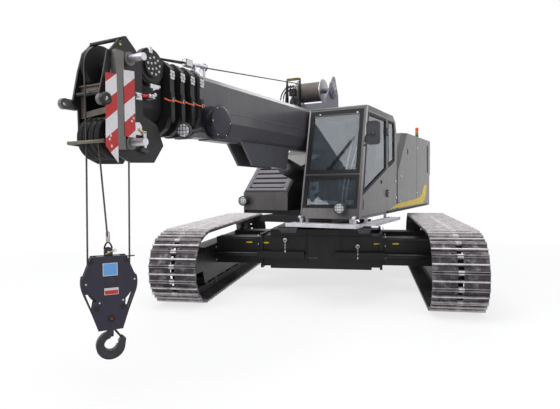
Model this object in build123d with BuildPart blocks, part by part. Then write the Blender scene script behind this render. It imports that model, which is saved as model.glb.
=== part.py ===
from build123d import *
from math import acos, asin, atan2, cos, degrees, hypot, pi, sin, tan
import os

# Crawler crane with a five-section telescopic boom, in millimetres.
#
# The origin is on the ground under the slewing axis. -Y is forward along the tracks, +X is the
# machine's left and +Z is up. The superstructure stands slewed by slew_angle, as it is parked.
# On every body, w runs forward from the slewing axis, u runs to the body's left and z is up.

# ---- driving dimensions --------------------------------------------------------------------
# tracks
track_gauge = 3871          # between the middles of the two tracks
axle_spacing = 3641         # idler axle to sprocket axle
idler_tip_radius = 529.5    # to the tips of the grousers
sprocket_tip_radius = 563.5
shoe_count = 49
shoe_width = 700
shoe_plate = 20
grouser = 30
chain_width = 220
chain_height = 95
end_wheel_width = 90
roller_radius = 85
roller_sides = 16
hub_radius = 120
hub_sides = 12
wheel_sides = 40
tooth_count = 20
tooth_depth = 45
roller_count = 6
roller_span = axle_spacing - 1241   # first roller to last
side_frame_width = 300
side_frame_plate = 30
frame_end = axle_spacing / 2 - 420.5

# carbody and its sliding beams
carbody_width = 1660
carbody_length = 1600
carbody_bottom = 360
carbody_top = 1010
beam_place = 560            # middle of each beam ahead of or behind the slewing axis
beam_width = 340
beam_height = 440
beam_bottom = 430
beam_lap = 380              # length of a beam inside the carbody at full gauge
sleeve_reach = 1000         # end of the fixed sleeves
sleeve_wall = 30
slide_gap = 6               # round a sliding beam
pad_gap = 0.3               # at wear pads, rollers and bearings
pin_gap = 0.05              # round pins and shafts
gauge_stroke = 500          # of each track towards the carbody
gauge_rod = 32              # of the cylinders that draw the tracks in
gauge_rod_place = 850
gauge_rod_z = 600
gauge_rod_gap = 5
gauge_rod_lap = 200         # of a rod in its barrel at full gauge
gauge_barrel_end = 1040
gauge_barrel_root = 250
gauge_barrel_wall = 15
sleeve_flange = 30          # round the sleeves' mouths
sleeve_flange_thick = 40

# slewing
slew_angle = -17.62
ring_radius = 600
ring_bore = 420
ring_height = 140
ring_bore_sides = 24

# superstructure
body_bottom = 1255
deck_plate = 60
half_width = 1200
skin = 40
house_rear = 3330
house_top = 2690
house_front = -470
house_shoulder = 2070
house_slope_end = -1060
house_bevel = 90            # of the outer edge of the slanted front
boom_slot = 330             # half the width of the gap that the boom lies in
counterweight_length = 330
counterweight_top = 1930
engine_w = -2500
engine_length = 900
engine_height = 850
engine_room = 85            # from the engine to the house's skins

# front box on the right
box_front = 800
box_rear = 240
box_low = 1610
box_top = 2080
louvres = 5

# cab
cab_left = half_width
cab_right = 290
cab_rear = -400
cab_front_foot = 1590
cab_front_head = 1200
cab_roof = 2890
cab_wall = 40
cab_sill_z = 1890           # bar between the two windscreens
window_low = 1597           # front end of the side windows' rising edge
window_rear = -265
window_rear_z = 2128
door_rear = 200
door_bottom = 1290
door_gap = 6
glass = 6
hinge_heights = (1590, 2590)
hinge_length = 120
hinge_out = 18              # of the hinge pins from the cab's side
hinge_radius = 13
hinge_sides = 12
hinge_pin = 6

# boom
boom_pivot = (-1900, 2450)  # w and z of the foot pin
boom_pin = 60
cheek = 40
cheek_head = 200
eye_radius = 95
foot_radius = 140
head_sides = 16            # of cheeks, eyes and bosses
boom_half = 230
boom_top = 2930
boom_bottom = 2280
boom_wall = 10
boom_rear = -1650
collar_w = 3850
collar_step = 155
collar_thick = 60
collar_reach = 25
nest = 22                   # from one section's skin to the next one's
section_count = 5
telescope_stroke = 4200     # of each section
luff_eye = (1750, 2080)     # pin of the luffing cylinder under the boom
luff_foot = (-900, 1480)    # pin of the luffing cylinder on the deck
luff_pin = 45
luff_eye_half = 80
barrel_radius = 130
rod_radius = 76
barrel_start = 250          # of the barrel's tube from its foot pin
barrel_end = 2450

# head
head_half = 210
head_plate = 20
head_rear = collar_w + 890
head_axle = head_rear + 210     # w of both sheave axles
upper_sheave = (head_axle, 2800)
lower_sheave = (head_axle, 2180)
sheave_radius = 190
rope = 16
rope_sides = 10
jib_pin_radius = 33
jib_pin_reach = 220
jib_boss = 60
jib_boss_radius = 60
jib_pin_w = head_rear + 160
jib_pin_heights = (2856, 2135)

fall_front_u = -35          # of the fall that comes off the upper sheave
lower_sheave_places = (-105, -35, 35, 105)
sheave_pin = 45
sheave_half = 30            # half the width of a sheave
sheave_sides = 36           # also of the drum and of the block's plates
sheave_pitch = 175.3        # from a head sheave's axis to the middle of its rope
head_flange_inset = 50
head_flange_low = 2450      # of the closing plate's reach out to the head plates
head_flange_high = 2850
fall_slack = 0.9            # of a rope that leaves its groove aslant
head_outline = [  # w from head_rear, and z
    (-40, 2860), (30, 2970), (144, 3065), (263, 2943), (320, 2772), (384, 2496),
    (327, 2429), (325, 2168), (238, 2012), (116, 1964), (-175, 1973), (-307, 2139),
    (-220, 2330), (-40, 2400)]
cross_rod = (head_rear + 340, 2560)
cross_rod_radius = 20
disc_centre = (head_rear - 180, 2870)  # plate and cover on the last section's left side
disc_radius = 150
disc_cover = 105
disc_face = 200
post_w = head_rear + 286
post_width = 88
post_low = 2070
post_high = 2900
post_thick = 70
nose_lug = (head_rear + 445, 2474)     # w and z of the jib's lower lugs
nose_radius = 48
nose_bore = 20
nose_thick = 40
nose_root = 125             # of a lug, back over the head plate's outer face

# winch
winch_axle = (300, 3340)
winch_left = 290
winch_right = -390
winch_base = 170
winch_plate = 25
winch_shaft = 40
drum_left = 120
drum_right = -330
drum_radius = 150
drum_rope_u = -280
flange_radius = 200

# cable reel on the boom's left
reel_centre = (collar_w - 130, 2430)
reel_radius = 180
reel_depth = 120
reel_core = 110
reel_disc = 12

# steps, mirror and lamps
step_z = 1140
step_thick = 40
mirror_u = half_width + 130
mirror_w = 1340
mirror_z = 2470
mirror_arm_z = 2400
lamp_radius = 85
lamp_depth = 70
lamp_places = ((930, 1600, 1410), (50 - half_width, box_front + 40, 1475))

# hook block
block_turn = 36             # of the block's face from the boom's side
block_sheave_z = 900
block_pitch = 178.3         # from the block sheave's axis to the middle of its rope
block_rim = 205
block_pin = 40
block_gap = 70              # between the two plates
block_plate = 22
block_half = 240
block_shoulder = 150
block_top = 1140
block_foot = 105
block_bottom = 480
becket_z = 1200
spacer_radius = 16
spacers = ((150, 1100), (-150, 1100), (110, 680), (-110, 680))   # w and z
hook_bowl = 125
hook_throat = 55
hook_throat_rise = 12       # of the throat's middle over the bowl's
crosshead_bottom = 520
crosshead_height = 100
shank_radius = 22
shank_collar = 30
hook_z = 330
hook_seat_z = 275
fall_rear_u = 105           # of the falls that hang from the lower sheaves
guide_w = collar_w - 360              # ring that guides the rope along the boom
guide_z = 3100
guide_bore = 30
guide_rim = 45
guide_thick = 20


class Body:
    """Upright planes on a body turned by an angle about the slewing axis."""

    def __init__(self, turn, w=0.0, u=0.0, twist=0.0):
        self.turn = turn
        self.twist = twist
        self.foot = Vector(u, -w, 0).rotate(Axis.Z, turn)

    def point(self, u, w, z):
        """Point of this body in the machine's frame."""
        return self.foot + Vector(u, -w, z).rotate(Axis.Z, self.turn + self.twist)

    def along(self, u, w, z):
        """Direction of this body in the machine's frame."""
        return Vector(u, -w, z).rotate(Axis.Z, self.turn + self.twist)

    def side(self, u):
        """Plane of w and z whose normal points to the body's right."""
        return Plane(self.point(u, 0, 0), x_dir=self.along(0, 1, 0), z_dir=self.along(-1, 0, 0))

    def deck(self, z):
        """Plane of w and u whose normal points up."""
        return Plane(self.point(0, 0, z), x_dir=self.along(0, 1, 0), z_dir=(0, 0, 1))

    def front(self, w):
        """Plane of u and z whose normal points forward."""
        return Plane(self.point(0, w, 0), x_dir=self.along(1, 0, 0), z_dir=self.along(0, 1, 0))


lower = Body(0)
upper = Body(slew_angle)
hanging = Body(slew_angle, w=lower_sheave[0], twist=-block_turn)

os.makedirs("parts", exist_ok=True)

# ---- tracks --------------------------------------------------------------------------------
climb = 2 * asin((sprocket_tip_radius - idler_tip_radius)
                 / hypot(axle_spacing, sprocket_tip_radius - idler_tip_radius))
plate_inside = grouser + shoe_plate
rail_inside = plate_inside + chain_height

# one triple-grouser shoe: share of the pitch, height over the plate
SHOE = [(0.0, -8), (0.05, grouser), (0.12, 0), (0.42, 0), (0.46, grouser), (0.54, grouser),
        (0.58, 0), (0.88, 0), (0.95, grouser)]


def belt_point(inset, share):
    """Point at a share of the way round the belt, from under the sprocket, forward."""
    ends = ((axle_spacing / 2, idler_tip_radius, pi - climb, -pi / 2),
            (-axle_spacing / 2, sprocket_tip_radius, pi + climb, pi / 2 - climb))
    travel = share * sum(axle_spacing + (tip - inset) * sweep for _, tip, sweep, _ in ends)
    for w, tip, sweep, start in ends:
        radius = tip - inset
        run_start = Vector(w, tip) + Vector(radius * cos(start), radius * sin(start))
        run_along = Vector(-sin(start), cos(start))
        if travel < axle_spacing:
            return run_start + run_along * (travel - axle_spacing)
        travel -= axle_spacing
        if travel < radius * sweep:
            angle = start + travel / radius
            return Vector(w, tip) + Vector(radius * cos(angle), radius * sin(angle))
        travel -= radius * sweep
    return belt_point(inset, 0)


def belt_loop(inset, steps=12):
    """Corners of the belt's inner outline, with its round ends in a few steps."""
    ends = ((axle_spacing / 2, idler_tip_radius, -pi / 2, pi - climb),
            (-axle_spacing / 2, sprocket_tip_radius, pi / 2 - climb, pi + climb))
    return [(w + (tip - inset) * cos(start + sweep * step / steps),
             tip + (tip - inset) * sin(start + sweep * step / steps))
            for w, tip, start, sweep in ends for step in range(steps + 1)]


def shoe_outline():
    """Outline of all the shoes, each laid along its chord of the belt."""
    pins = [belt_point(grouser, shoe / shoe_count) for shoe in range(shoe_count)]
    outline = []
    for pin, after in zip(pins, pins[1:] + pins[:1]):
        chord = after - pin
        outward = Vector(chord.Y, -chord.X).normalized()
        outline += [pin + chord * share + outward * height for share, height in SHOE]
    return outline


def teeth(w, z, rim):
    """Corners of a sprocket's toothed outline about its centre."""
    corners = []
    for tooth in range(tooth_count):
        for share, depth in ((-0.3, tooth_depth), (-0.16, 0), (0.16, 0), (0.3, tooth_depth)):
            angle = 2 * pi * (tooth + share) / tooth_count
            corners.append((w + (rim - depth) * cos(angle), z + (rim - depth) * sin(angle)))
    return corners


for name, hand in (("left", 1), ("right", -1)):
    middle = lower.side(hand * track_gauge / 2)
    with BuildPart() as track:
        with BuildSketch(middle):
            with BuildLine():
                Polyline(*shoe_outline(), close=True)
            make_face()
            with BuildLine():
                Polyline(*belt_loop(plate_inside), close=True)
            make_face(mode=Mode.SUBTRACT)
        extrude(amount=shoe_width / 2, both=True)
        with BuildSketch(middle):
            with BuildLine():
                Polyline(*belt_loop(plate_inside - 2), close=True)
            make_face()
            with BuildLine():
                Polyline(*belt_loop(rail_inside), close=True)
            make_face(mode=Mode.SUBTRACT)
        extrude(amount=chain_width / 2, both=True)
    track.part.label = f"track_{name}"
    export_step(track.part, f"parts/track_{name}.step")

    # sprocket and idler, each with its hub, and the rollers under the side frame
    roller_pitch = roller_span / (roller_count - 1)
    roller_z = rail_inside + roller_radius + pad_gap
    with BuildPart() as wheels:
        for w, tip in ((axle_spacing / 2, idler_tip_radius), (-axle_spacing / 2, sprocket_tip_radius)):
            rim = (tip - rail_inside) * cos(pi / 24) - pad_gap
            with BuildSketch(middle):
                if w > 0:
                    with Locations((w, tip)):
                        RegularPolygon(rim, wheel_sides)
                else:
                    with BuildLine():
                        Polyline(*teeth(w, tip, rim), close=True)
                    make_face()
            extrude(amount=end_wheel_width / 2, both=True)
            with BuildSketch(middle):
                with Locations((w, tip)):
                    RegularPolygon(hub_radius, hub_sides)
            extrude(amount=side_frame_width / 2 - side_frame_plate - pad_gap, both=True)
        for place in range(roller_count):
            with BuildSketch(middle):
                with Locations(((place - (roller_count - 1) / 2) * roller_pitch, roller_z)):
                    RegularPolygon(roller_radius, roller_sides)
            extrude(amount=side_frame_width / 2 - side_frame_plate - pad_gap, both=True)
    wheels.part.label = f"wheels_{name}"
    export_step(wheels.part, f"parts/wheels_{name}.step")

    # side frame with its arms, and the two beams that slide in the carbody
    inner = track_gauge / 2 - side_frame_width / 2
    root = sleeve_reach - beam_lap
    with BuildPart() as side_frame:
        with BuildSketch(middle):
            with BuildLine():
                Polyline((-frame_end, 345), (frame_end, 345), (frame_end, 560), (frame_end - 70, 760),
                         (70 - frame_end, 760), (-frame_end, 560), close=True)
            make_face()
        extrude(amount=side_frame_width / 2, both=True)
        for flank in (-1, 1):
            wall = lower.side(hand * track_gauge / 2
                              + flank * (side_frame_width / 2 - side_frame_plate / 2))
            with BuildSketch(wall):
                with BuildLine():
                    Polyline((20 - frame_end, 200), (frame_end - 20, 200), (frame_end + 50, 400),
                             (frame_end + 595, 420), (frame_end + 595, 640), (frame_end + 100, 700),
                             (-frame_end - 100, 700), (-frame_end - 590, 680),
                             (-frame_end - 590, 440), (-frame_end - 50, 400), close=True)
                make_face()
            extrude(amount=side_frame_plate / 2, both=True)
        for flank in (-1, 1):
            with BuildSketch(lower.side(hand * (inner + 1))):
                with Locations((flank * beam_place, beam_bottom + beam_height / 2)):
                    Rectangle(beam_width, beam_height)
            extrude(amount=hand * (inner + 1 - root))
        # rods of the gauge cylinders
        for flank in (-1, 1):
            with BuildSketch(lower.side(hand * (inner + 1))):
                with Locations((flank * gauge_rod_place, gauge_rod_z)):
                    RegularPolygon(gauge_rod, 12)
            extrude(amount=hand * (inner + 1 - gauge_barrel_end + gauge_rod_lap))
    side_frame.part.label = f"side_frame_{name}"
    export_step(side_frame.part, f"parts/side_frame_{name}.step")

# ---- carbody -------------------------------------------------------------------------------
beam_middle = beam_bottom + beam_height / 2
with BuildPart() as carbody:
    with BuildSketch(lower.deck(carbody_bottom)):
        Rectangle(carbody_length, carbody_width)
    extrude(amount=carbody_top - carbody_bottom)
    for flank in (-1, 1):
        with BuildSketch(lower.side(0)):
            with Locations((flank * beam_place, beam_middle)):
                Rectangle(beam_width + 2 * (slide_gap + sleeve_wall),
                          beam_height + 2 * (slide_gap + sleeve_wall))
        extrude(amount=sleeve_reach, both=True)
    for flank in (-1, 1):
        with BuildSketch(lower.side(0)):
            with Locations((flank * beam_place, beam_middle)):
                Rectangle(beam_width + 2 * slide_gap, beam_height + 2 * slide_gap)
        extrude(amount=sleeve_reach, both=True, mode=Mode.SUBTRACT)
    # flanges round the sleeves' mouths, and the barrels of the gauge cylinders
    for hand in (-1, 1):
        for flank in (-1, 1):
            with BuildSketch(lower.side(hand * sleeve_reach)):
                with Locations((flank * beam_place, beam_middle)):
                    Rectangle(beam_width + 2 * (slide_gap + sleeve_wall + sleeve_flange),
                              beam_height + 2 * (slide_gap + sleeve_wall + sleeve_flange))
                    Rectangle(beam_width + 2 * slide_gap, beam_height + 2 * slide_gap,
                              mode=Mode.SUBTRACT)
            extrude(amount=hand * sleeve_flange_thick)
            barrel_bore = 2 * (gauge_rod + gauge_rod_gap)
            with BuildSketch(lower.side(hand * gauge_barrel_end)):
                with Locations((flank * gauge_rod_place, gauge_rod_z)):
                    Rectangle(barrel_bore + 2 * gauge_barrel_wall, barrel_bore + 2 * gauge_barrel_wall)
                    Rectangle(barrel_bore, barrel_bore, mode=Mode.SUBTRACT)
            extrude(amount=hand * (gauge_barrel_end - gauge_barrel_root))
    # wear pads over and under each beam, at the sleeves' mouths
    for hand in (-1, 1):
        for flank in (-1, 1):
            for end in (-1, 1):
                pad_face = beam_middle + end * (beam_height / 2 + slide_gap / 2 + pad_gap / 2)
                with BuildSketch(lower.side(hand * (sleeve_reach - 60))):
                    with Locations((flank * beam_place, pad_face)):
                        Rectangle(200, slide_gap - pad_gap)
                extrude(amount=40, both=True)
    # lower half of the slewing ring
    with BuildSketch(lower.deck(carbody_top)):
        Circle(ring_radius)
        RegularPolygon(ring_bore, ring_bore_sides, mode=Mode.SUBTRACT)
    extrude(amount=ring_height / 2)
carbody.part.label = "carbody"
export_step(carbody.part, "parts/carbody.step")

# ---- deck of the superstructure ------------------------------------------------------------
ring_split = carbody_top + ring_height / 2
deck_top = body_bottom + deck_plate
inside = half_width - skin
pivot_w, pivot_z = boom_pivot
cheek_face = boom_half + slide_gap + 25
with BuildPart() as deck:
    with BuildSketch(upper.deck(body_bottom)):
        with BuildLine():
            Polyline((cab_front_foot - 60, cab_right + skin), (cab_front_foot - 60, inside),
                     (counterweight_length - house_rear, inside),
                     (counterweight_length - house_rear, -inside), (box_front - skin, -inside),
                     (box_front - skin, cab_right + skin), close=True)
        make_face()
    extrude(amount=deck_plate)
    with BuildSketch(upper.deck(carbody_top + ring_height)):
        Rectangle(2400, 1250)
    extrude(amount=body_bottom - carbody_top - ring_height)
    # upper half of the slewing ring
    with BuildSketch(upper.deck(ring_split + pad_gap)):
        Circle(ring_radius - 30)
        RegularPolygon(ring_bore, ring_bore_sides, mode=Mode.SUBTRACT)
    extrude(amount=ring_height / 2 - pad_gap)
deck.part.label = "deck"
export_step(deck.part, "parts/deck.step")

# ---- stand that carries the boom and its cylinder -------------------------------------------
foot_w, foot_z = luff_foot
with BuildPart() as boom_stand:
    for flank in (-1, 1):
        with BuildSketch(upper.side(flank * (cheek_face + cheek / 2))):
            with BuildLine():
                Polyline((-2600, deck_top), (-700, deck_top), (-950, 1750), (-1720, 2500),
                         (-2080, 2500), (-2560, 1900), close=True)
            make_face()
            with Locations(boom_pivot):
                RegularPolygon(cheek_head, head_sides)
        extrude(amount=cheek / 2, both=True)
    # pins of the boom and of the luffing cylinder, and the cylinder's lugs
    with BuildSketch(upper.side(0)):
        with Locations(boom_pivot):
            Circle(boom_pin)
    extrude(amount=cheek_face + cheek, both=True)
    for flank in (-1, 1):
        with BuildSketch(upper.side(flank * (luff_eye_half + slide_gap + 20))):
            with BuildLine():
                Polyline((foot_w - 200, deck_top), (foot_w + 200, deck_top),
                         (foot_w + 80, foot_z + 80), (foot_w - 80, foot_z + 80), close=True)
            make_face()
        extrude(amount=20, both=True)
    with BuildSketch(upper.side(0)):
        with Locations(luff_foot):
            Circle(luff_pin)
    extrude(amount=luff_eye_half + slide_gap + 40, both=True)
boom_stand.part.label = "boom_stand"
export_step(boom_stand.part, "parts/boom_stand.step")

# ---- house and counterweight ---------------------------------------------------------------
house_outlines = {
    "left": [(house_front, body_bottom), (house_front, house_shoulder), (house_slope_end, house_top),
             (-house_rear, house_top), (-house_rear, body_bottom)],
    "right": [(box_rear, body_bottom), (box_rear, box_top), (-700, house_top - 350),
              (-1300, house_top), (-house_rear, house_top), (-house_rear, body_bottom)],
}
for name, hand in (("left", 1), ("right", -1)):
    with BuildPart() as house:
        with BuildSketch(upper.side(hand * half_width)):
            with BuildLine():
                Polyline(*house_outlines[name], close=True)
            make_face()
        extrude(amount=hand * (half_width - boom_slot))
        outward = upper.along(hand, 0, 0)
        chamfer([edge for edge in house.edges() if 0.2 < abs(edge.tangent_at(0).Z) < 0.95
                 and edge.center().dot(outward) > half_width - 1], length=house_bevel)
        offset(amount=-skin, openings=house.faces().sort_by(Axis.Z)[0], kind=Kind.INTERSECTION)
        # room for the deck between the skins, and for the counterweight
        with BuildSketch(upper.deck(body_bottom)):
            Rectangle(3 * house_rear, 2 * inside)
        extrude(amount=deck_plate, mode=Mode.SUBTRACT)
        with BuildSketch(upper.deck(body_bottom)):
            with Locations((-house_rear, 0)):
                Rectangle(2 * counterweight_length, 3 * half_width)
        extrude(amount=counterweight_top - body_bottom, mode=Mode.SUBTRACT)
    house.part.label = f"house_{name}"
    export_step(house.part, f"parts/house_{name}.step")

with BuildPart() as counterweight:
    with BuildSketch(upper.deck(body_bottom)):
        with Locations((-house_rear - 40, 0)):
            Rectangle(counterweight_length + 40, 2 * half_width, align=(Align.MIN, Align.CENTER))
    extrude(amount=counterweight_top - body_bottom)
    fillet(counterweight.edges().filter_by(Axis.Z).sort_by(Axis(upper.point(0, 0, 0),
                                                                upper.along(0, 1, 0)))[:2], radius=120)
counterweight.part.label = "counterweight"
export_step(counterweight.part, "parts/counterweight.step")

with BuildPart() as engine:
    with BuildSketch(upper.deck(deck_top)):
        with Locations((engine_w, -(half_width + boom_slot) / 2)):
            Rectangle(engine_length, half_width - boom_slot - 2 * (skin + engine_room))
    extrude(amount=engine_height)
engine.part.label = "engine"
export_step(engine.part, "parts/engine.step")

# ---- front box with its louvred lid --------------------------------------------------------
with BuildPart() as front_box:
    with BuildSketch(upper.side(-half_width)):
        with BuildLine():
            Polyline((box_front, body_bottom), (box_front, box_low), (box_rear + 60, box_top),
                     (box_rear, box_top), (box_rear, body_bottom), close=True)
        make_face()
    extrude(amount=-(half_width - boom_slot))
    offset(amount=-skin / 2, openings=front_box.faces().sort_by(Axis.Z)[0], kind=Kind.INTERSECTION)
    with BuildSketch(upper.deck(body_bottom)):
        Rectangle(3 * house_rear, 2 * (half_width - skin / 2))
    extrude(amount=deck_plate, mode=Mode.SUBTRACT)
front_box.part.label = "front_box"
export_step(front_box.part, "parts/front_box.step")
slope_length = hypot(box_front - box_rear - 60, box_top - box_low)
slope_run = Vector(box_rear + 60 - box_front, box_top - box_low).normalized()
lid_plane = Plane(upper.point(-(half_width + boom_slot) / 2, box_front, box_low),
                  x_dir=upper.along(1, 0, 0), z_dir=upper.along(0, slope_run.Y, -slope_run.X))
with BuildPart() as vent_lid:
    with BuildSketch(lid_plane):
        with Locations((0, slope_length / 2)):
            Rectangle(half_width - boom_slot - 40, slope_length - 60)
    extrude(amount=25)
    with BuildSketch(lid_plane.offset(25)):
        with Locations((0, slope_length / 2)):
            with GridLocations(0, (slope_length - 200) / (louvres - 1), 1, louvres):
                Rectangle(half_width - boom_slot - 220, 45)
    extrude(amount=-25, mode=Mode.SUBTRACT)
vent_lid.part.label = "vent_lid"
export_step(vent_lid.part, "parts/vent_lid.step")

# ---- cab -----------------------------------------------------------------------------------
rake = (cab_front_foot - cab_front_head) / (cab_roof - body_bottom)


def nose(z, back=0.0):
    """Forward edge of the cab at a height, or a line behind it."""
    return cab_front_foot - rake * (z - body_bottom) - back


window_top = cab_roof - 70
window_front = nose(window_low, 75)
window_rise = (window_rear_z - window_low) / (window_front - window_rear)


def window_edge(w):
    """Height of the side windows' rising lower edge."""
    return window_low + window_rise * (window_front - w)


cab_outline = [(cab_front_foot, body_bottom), (cab_front_head, cab_roof), (cab_rear + 250, cab_roof),
               (cab_rear + 80, cab_roof - 90), (cab_rear, cab_roof - 300), (cab_rear, body_bottom)]
door_outline = [(nose(door_bottom, 55), door_bottom), (nose(window_top, 55), window_top + 20),
                (door_rear + door_gap, window_top + 20), (door_rear + door_gap, door_bottom)]
door_window = [(window_front, window_low), (nose(window_top - 30, 75 + 30), window_top - 30),
               (door_rear + 50, window_top - 30), (door_rear + 50, window_edge(door_rear + 50))]
quarter_window = [(door_rear - 50, window_edge(door_rear - 50)), (door_rear - 50, window_top - 30),
                  (window_rear + 40, window_top - 30), (window_rear, window_top - 160),
                  (window_rear, window_rear_z)]
right_window = [(nose(1950, 110), 1950), (nose(window_top, 110), window_top),
                (window_rear, window_top), (window_rear, 1950)]
screens = [(1430, cab_sill_z - 25), (cab_sill_z + 25, cab_roof - 110)]
screen_right = cab_right + 50
screen_left = cab_left - 75

with BuildPart() as cab:
    with BuildSketch(upper.side(cab_left)):
        with BuildLine():
            Polyline(*cab_outline, close=True)
        make_face()
    extrude(amount=cab_left - cab_right)
    offset(amount=-cab_wall, openings=cab.faces().sort_by(Axis.Z)[0], kind=Kind.INTERSECTION)
    with BuildSketch(upper.deck(body_bottom)):
        with Locations((cab_front_foot - 60, 0)):
            Rectangle(4000, 2 * inside, align=(Align.MAX, Align.CENTER))
    extrude(amount=deck_plate, mode=Mode.SUBTRACT)
    # openings of the door and the windows
    with BuildSketch(upper.side(cab_left + 1)):
        with BuildLine():
            Polyline(*door_outline, close=True)
        make_face()
        offset(amount=door_gap, kind=Kind.INTERSECTION)
        with BuildLine():
            Polyline(*quarter_window, close=True)
        make_face()
    extrude(amount=cab_wall + 2, mode=Mode.SUBTRACT)
    with BuildSketch(upper.side(cab_right + cab_wall + 1)):
        with BuildLine():
            Polyline(*right_window, close=True)
        make_face()
    extrude(amount=cab_wall + 2, mode=Mode.SUBTRACT)
    for low, high in screens:
        with BuildSketch(upper.front(cab_front_foot + 10)):
            with Locations(((screen_right + screen_left) / 2, (low + high) / 2)):
                Rectangle(screen_left - screen_right, high - low)
        extrude(amount=-600, mode=Mode.SUBTRACT)
    with BuildSketch(upper.front(cab_rear - 1)):
        with Locations(((cab_right + cab_left) / 2, 2350)):
            Rectangle(560, 420)
    extrude(amount=cab_wall + 2, mode=Mode.SUBTRACT)
    # the door's hinge pins and their fixed leaves
    for z in hinge_heights:
        with BuildSketch(upper.deck(z - hinge_length / 2)):
            with Locations((door_rear, cab_left + hinge_out)):
                Circle(hinge_pin)
        extrude(amount=hinge_length)
        for low in (z - hinge_length / 2, z + hinge_length / 4 + pad_gap):
            with BuildSketch(upper.deck(low)):
                with Locations((door_rear, cab_left + hinge_out)):
                    Circle(hinge_radius)
                with Locations((door_rear - 3, cab_left)):
                    Rectangle(40, hinge_out, align=(Align.MAX, Align.MIN))
            extrude(amount=hinge_length / 4 - pad_gap)
cab.part.label = "cab"
export_step(cab.part, "parts/cab.step")

with BuildPart() as cab_glass:
    with BuildSketch(upper.side(cab_left - 15)):
        with BuildLine():
            Polyline(*quarter_window, close=True)
        make_face()
    extrude(amount=glass)
    with BuildSketch(upper.side(cab_right + 15)):
        with BuildLine():
            Polyline(*right_window, close=True)
        make_face()
    extrude(amount=glass)
    for low, high in screens:
        with BuildSketch(upper.side(screen_left)):
            with BuildLine():
                Polyline((nose(low, 15), low), (nose(high, 15), high), (nose(high, 15 + glass), high),
                         (nose(low, 15 + glass), low), close=True)
            make_face()
        extrude(amount=screen_left - screen_right)
    with BuildSketch(upper.front(cab_rear + 15)):
        with Locations(((cab_right + cab_left) / 2, 2350)):
            Rectangle(560, 420)
    extrude(amount=glass)
cab_glass.part.label = "cab_glass"
export_step(cab_glass.part, "parts/cab_glass.step")

with BuildPart() as cab_door:
    with BuildSketch(upper.side(cab_left)):
        with BuildLine():
            Polyline(*door_outline, close=True)
        make_face()
        with BuildLine():
            Polyline(*door_window, close=True)
        make_face(mode=Mode.SUBTRACT)
    extrude(amount=cab_wall)
    # hinge leaves and the barrels that turn about the pins
    for z in hinge_heights:
        with BuildSketch(upper.deck(z - hinge_length / 4)):
            with Locations((door_rear, cab_left + hinge_out)):
                RegularPolygon(hinge_radius, hinge_sides)
                Circle(hinge_pin + pin_gap, mode=Mode.SUBTRACT)
            with Locations((door_rear + hinge_pin + 3, cab_left)):
                Rectangle(60, hinge_out - 3, align=(Align.MIN, Align.MIN))
        extrude(amount=hinge_length / 2)
cab_door.part.label = "cab_door"
export_step(cab_door.part, "parts/cab_door.step")

with BuildPart() as door_glass:
    with BuildSketch(upper.side(cab_left - 15)):
        with BuildLine():
            Polyline(*door_window, close=True)
        make_face()
    extrude(amount=glass)
door_glass.part.label = "door_glass"
export_step(door_glass.part, "parts/door_glass.step")

cab_middle = (cab_left + cab_right) / 2
with BuildPart() as seat:
    with BuildSketch(upper.side(cab_middle)):
        with BuildLine():
            Polyline((150, deck_top), (550, deck_top), (550, 1660), (700, 1700), (700, 1820),
                     (260, 1780), (160, 2400), (60, 2400), (110, 1700), (150, 1660), close=True)
        make_face()
    extrude(amount=240, both=True)
seat.part.label = "seat"
export_step(seat.part, "parts/seat.step")

with BuildPart() as console:
    for u in (cab_middle - 300, cab_middle + 300):
        with BuildSketch(upper.side(u)):
            with BuildLine():
                Polyline((250, deck_top), (550, deck_top), (800, 1900), (760, 1960), (250, 1860),
                         close=True)
            make_face()
        extrude(amount=45, both=True)
    with BuildSketch(upper.side(cab_right + cab_wall + 110)):
        with BuildLine():
            Polyline((900, deck_top), (1250, deck_top), (1250, 1900), (1180, 2100), (1130, 2100),
                     (1130, 1700), close=True)
        make_face()
    extrude(amount=60, both=True)
console.part.label = "console"
export_step(console.part, "parts/console.step")

# ---- steps, mirror, lamps and warning tower ------------------------------------------------
with BuildPart() as steps:
    with BuildSketch(upper.deck(step_z)):
        with Locations((cab_front_foot - 120, half_width + 10)):
            Rectangle(300, 1080, align=(Align.MIN, Align.MAX))
        with Locations((600, half_width - 70)):
            Rectangle(1400, 210, align=(Align.CENTER, Align.MIN))
    extrude(amount=step_thick)
    for w, u in ((cab_front_foot - 100, cab_right + 70), (cab_front_foot - 100, half_width - 160),
                 (100, half_width - 65), (1100, half_width - 65)):
        with BuildSketch(upper.deck(step_z)):
            with Locations((w, u)):
                Rectangle(40, 40)
        extrude(amount=body_bottom - step_z)
steps.part.label = "steps"
export_step(steps.part, "parts/steps.step")

with BuildPart() as mirror_head:
    with BuildSketch(upper.front(mirror_w)) as mirror_frame:
        with Locations((mirror_u, mirror_z)):
            Rectangle(190, 330)
        chamfer(mirror_frame.vertices(), length=30)
    extrude(amount=50)
    with BuildSketch(upper.front(nose(mirror_arm_z, 34))):
        with Locations((cab_left, mirror_arm_z)):
            Rectangle(mirror_u - cab_left, 24, align=(Align.MIN, Align.CENTER))
    extrude(amount=mirror_w + 5 - nose(mirror_arm_z, 34))
mirror_head.part.label = "mirror"
export_step(mirror_head.part, "parts/mirror.step")

with BuildPart() as work_lamps:
    for u, w, z in lamp_places:
        with BuildSketch(upper.front(w)):
            with Locations((u, z)):
                Circle(lamp_radius)
        extrude(amount=lamp_depth)
        # bracket back to the cab's sloping front, or to the box's upright one
        low, high = z - 25, z + 25
        seat_low, seat_high = (nose(low), nose(high)) if u > 0 else (box_front, box_front)
        with BuildSketch(upper.side(u + 25)):
            with BuildLine():
                Polyline((seat_low, low), (w + 1, low), (w + 1, high), (seat_high, high), close=True)
            make_face()
        extrude(amount=50)
work_lamps.part.label = "work_lamps"
export_step(work_lamps.part, "parts/work_lamps.step")

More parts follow.
